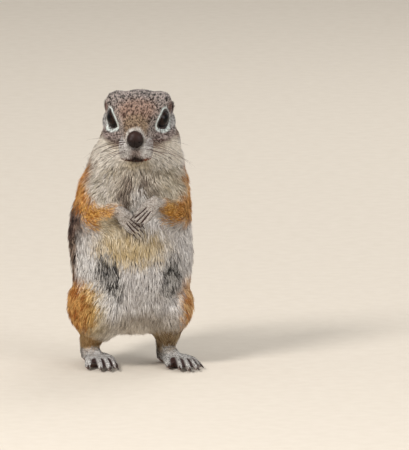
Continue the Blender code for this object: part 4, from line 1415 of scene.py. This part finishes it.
# claws: one rounded cone, bowed and copied to every toe
clawSettings = {
    "sides": 14, "rings": 10,
    "bow": 0.33,  # how far a claw arches, as a share of its length
    "inToe": 0.25,  # share of its length that it goes on into the toe
    "offFloor": 0.3,  # millimetres
    "width": {"hind": 0.56, "fore": 0.42}, "flat": 0.72,
    "horn": ((20, 14, 13), (74, 54, 46)),
}


def shapeClaw():
    # one unit long along Z, full to near the tip
    claw = slimCone(clawSettings["sides"], 1, 0.06, clawSettings["rings"])
    places = pointsOf(claw.data)
    along = places[:, 2]
    swell = np.sqrt(np.clip(1 - along ** 2.2, 0.0, 1)) / np.maximum(1 - along * 0.94, 0.06)
    places[:, 0] *= swell * clawSettings["flat"]
    places[:, 1] *= swell
    movePoints(claw.data, places)
    return claw


def makeClawMaterial():
    material, tree, shader, streak = speckled(
        "clawHorn", 1400.0, clawSettings["horn"], Roughness=0.3, Specular_IOR_Level=0.5)
    feed(tree, shader.inputs["Roughness"], smoothStep(tree, streak, 0.3, 0.7, 0.24, 0.42))
    raised(tree, shader, streak, 0.25, 0.1 * mm)
    return material


def makeClaws():
    first = shapeClaw()
    material = makeClawMaterial()
    x, y, along = pointsOf(first.data).T[:, :, None]
    for name, (root, tip) in clawEnds.items():
        kind = name[:4]
        start = root - (tip - root) * clawSettings["inToe"]
        axis = (tip - start).normalized()
        length = (tip - start).length
        upper = Vector((0, 0, 1)) if kind == "hind" else Vector((0, -1, 0.4))
        side = upper.cross(axis).normalized()
        over = axis.cross(side)
        width = clawSettings["width"][kind] * mm
        bow = clawSettings["bow"] * along * (1 - along) * length
        places = np.array(start) + along * length * np.array(axis)
        places += x * width * np.array(side) + (y * width + bow) * np.array(over)
        places[:, 2] = np.maximum(places[:, 2], clawSettings["offFloor"] * mm)
        claw = inScene("claw_" + name.replace("_claw", ""), first.data.copy())
        movePoints(claw.data, places)
        faceOutwards(claw)
        claw.data.shade_smooth()
        claw.data.materials.append(material)
        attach(claw, "root")
        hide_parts(name)
    bpy.data.objects.remove(first)


makeClaws()
print("claws made:", len(clawEnds))


# whiskers: one fine bristle, copied and bent for each hair of both pads
whiskerSettings = {
    "seed": 5, "rows": 4, "inRow": 3,
    "length": (11.0, 21.0), "thick": 0.13, "rootDepth": 0.3, "rootSpread": 0.25,  # millimetres
    "droop": 0.5, "droopSpread": (0.5, 1.3), "lengthSpread": (0.75, 1.0), "waySpread": 0.07,
    "pad": ((3.6, -15.5, -6.0), (6.8, -12.0, -10.6)),  # first and last root, on the head in millimetres
    "hair": ((38, 19, 16), (84, 50, 42)),
}


def copyBristle(first, root, way, length, chance):
    # it leaves the lip along its way and droops down and backwards
    x, y, along = pointsOf(first.data).T[:, :, None]
    down = Vector((0, 0, -1)) - headFront * 0.8
    thick = whiskerSettings["thick"] * mm * (0.8 + 0.4 * chance.random())
    across = way.cross(down).normalized()
    over = way.cross(across).normalized()
    bend = whiskerSettings["droop"] * chance.uniform(*whiskerSettings["droopSpread"])
    spine = np.array(root) + along * length * np.array(way) + along ** 2 * length * bend * np.array(down)
    ring = x * np.array(across) + y * np.array(over)
    bristle = inScene("bristle", first.data.copy())
    movePoints(bristle.data, spine + ring * thick - np.array(way) * whiskerSettings["rootDepth"] * mm)
    return bristle


def makeWhiskers():
    first = slimCone(5, 1, 0.12, 9)
    chance = np.random.default_rng(whiskerSettings["seed"])
    surface = BVHTree.FromObject(skin, bpy.context.evaluated_depsgraph_get())
    start, end = (np.array(place) for place in whiskerSettings["pad"])
    low, high = whiskerSettings["length"]
    rows, inRow = whiskerSettings["rows"], whiskerSettings["inRow"]
    bristles = []
    for sign, row, step in itertools.product(sides.values(), range(rows), range(inRow)):
        back, down = (step + 0.4 * (row % 2)) / inRow, row / (rows - 1)
        place = start + (end - start) * np.array((back, back, down))
        place += chance.normal(0, whiskerSettings["rootSpread"], 3)
        root = surface.find_nearest(onHead(place[0] * sign, place[1], place[2]))[0]
        share = (0.25 + 0.75 * back) * chance.uniform(*whiskerSettings["lengthSpread"])
        length = (low + (high - low) * share) * mm
        way = headLeft * sign * 0.85 + headUp * (0.05 - 0.3 * down)
        way += headFront * (0.15 - 0.45 * back) + Vector(chance.normal(0, whiskerSettings["waySpread"], 3))
        bristles.append(copyBristle(first, root, way.normalized(), length, chance))
    bpy.data.objects.remove(first)
    selectOnly(*bristles)
    bpy.ops.object.join()
    whiskers = bpy.context.object
    nameBoth(whiskers, "whiskers")
    whiskers.data.shade_smooth()
    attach(whiskers, "root")
    material, tree, shader = startMaterial("whiskerHair", Roughness=0.4, Specular_IOR_Level=0.5)
    tint = smoothStep(tree, grain(tree, ownPlace(tree), 90.0)["Fac"], 0.4, 0.6)
    feed(tree, shader.inputs["Base Color"], toned(tree, tint, whiskerSettings["hair"]))
    whiskers.data.materials.append(material)
    print("whiskers made:", len(bristles))


makeWhiskers()


# floor, light and camera
stageSettings = {
    "floorSize": 12.0, "floorColours": ((214, 204, 190), (224, 215, 202)),
    "cameraAway": 5.0, "elevation": 8.0, "lens": 930.3, "aim": (0.0298, -0.0044, 0.0604),
    # place, size, power and colour of each lamp
    "key": ((-0.8, -0.95, 1.0), 0.5, 18.0, (1.0, 0.975, 0.95)),
    "fill": ((0.9, -0.9, 0.5), 0.9, 6.5, (0.96, 0.98, 1.0)),
    "back": ((0.4, 0.9, 0.9), 0.7, 4.0, (1.0, 1.0, 1.0)),
    "sky": 0.55,
}


def makeStage():
    bpy.ops.mesh.primitive_plane_add(size=stageSettings["floorSize"], location=(0, 0, 0))
    floor = bpy.context.object
    nameBoth(floor, "floor")
    material = speckled(
        "paleFloor", 160.0, stageSettings["floorColours"], Roughness=0.9, Specular_IOR_Level=0.1)[0]
    floor.data.materials.append(material)

    aim = Vector(stageSettings["aim"])
    for name in ("key", "fill", "back"):
        place, size, power, colour = stageSettings[name]
        lamp = bpy.data.lights.new(name, "AREA")
        lamp.shape = "DISK"
        lamp.size = size
        lamp.energy = power
        lamp.color = colour
        holder = inScene(name, lamp)
        holder.location = place
        holder.rotation_euler = towards(Vector(place) - aim)
    world = bpy.data.worlds.new("softSky")
    world.use_nodes = True
    background = world.node_tree.nodes["Background"].inputs
    background["Color"].default_value = (1.0, 0.985, 0.96, 1)
    background["Strength"].default_value = stageSettings["sky"]
    bpy.context.scene.world = world
    bpy.context.scene.view_settings.view_transform = "Standard"

    camera = inScene("camera", bpy.data.cameras.new("camera"))
    camera.data.lens = stageSettings["lens"]
    camera.data.clip_start = 0.05
    tilt = math.radians(stageSettings["elevation"])
    away = Vector((0, -math.cos(tilt), math.sin(tilt)))
    camera.location = aim + away * stageSettings["cameraAway"]
    camera.rotation_euler = towards(away)
    bpy.context.scene.camera = camera


makeStage()
print("stage set")
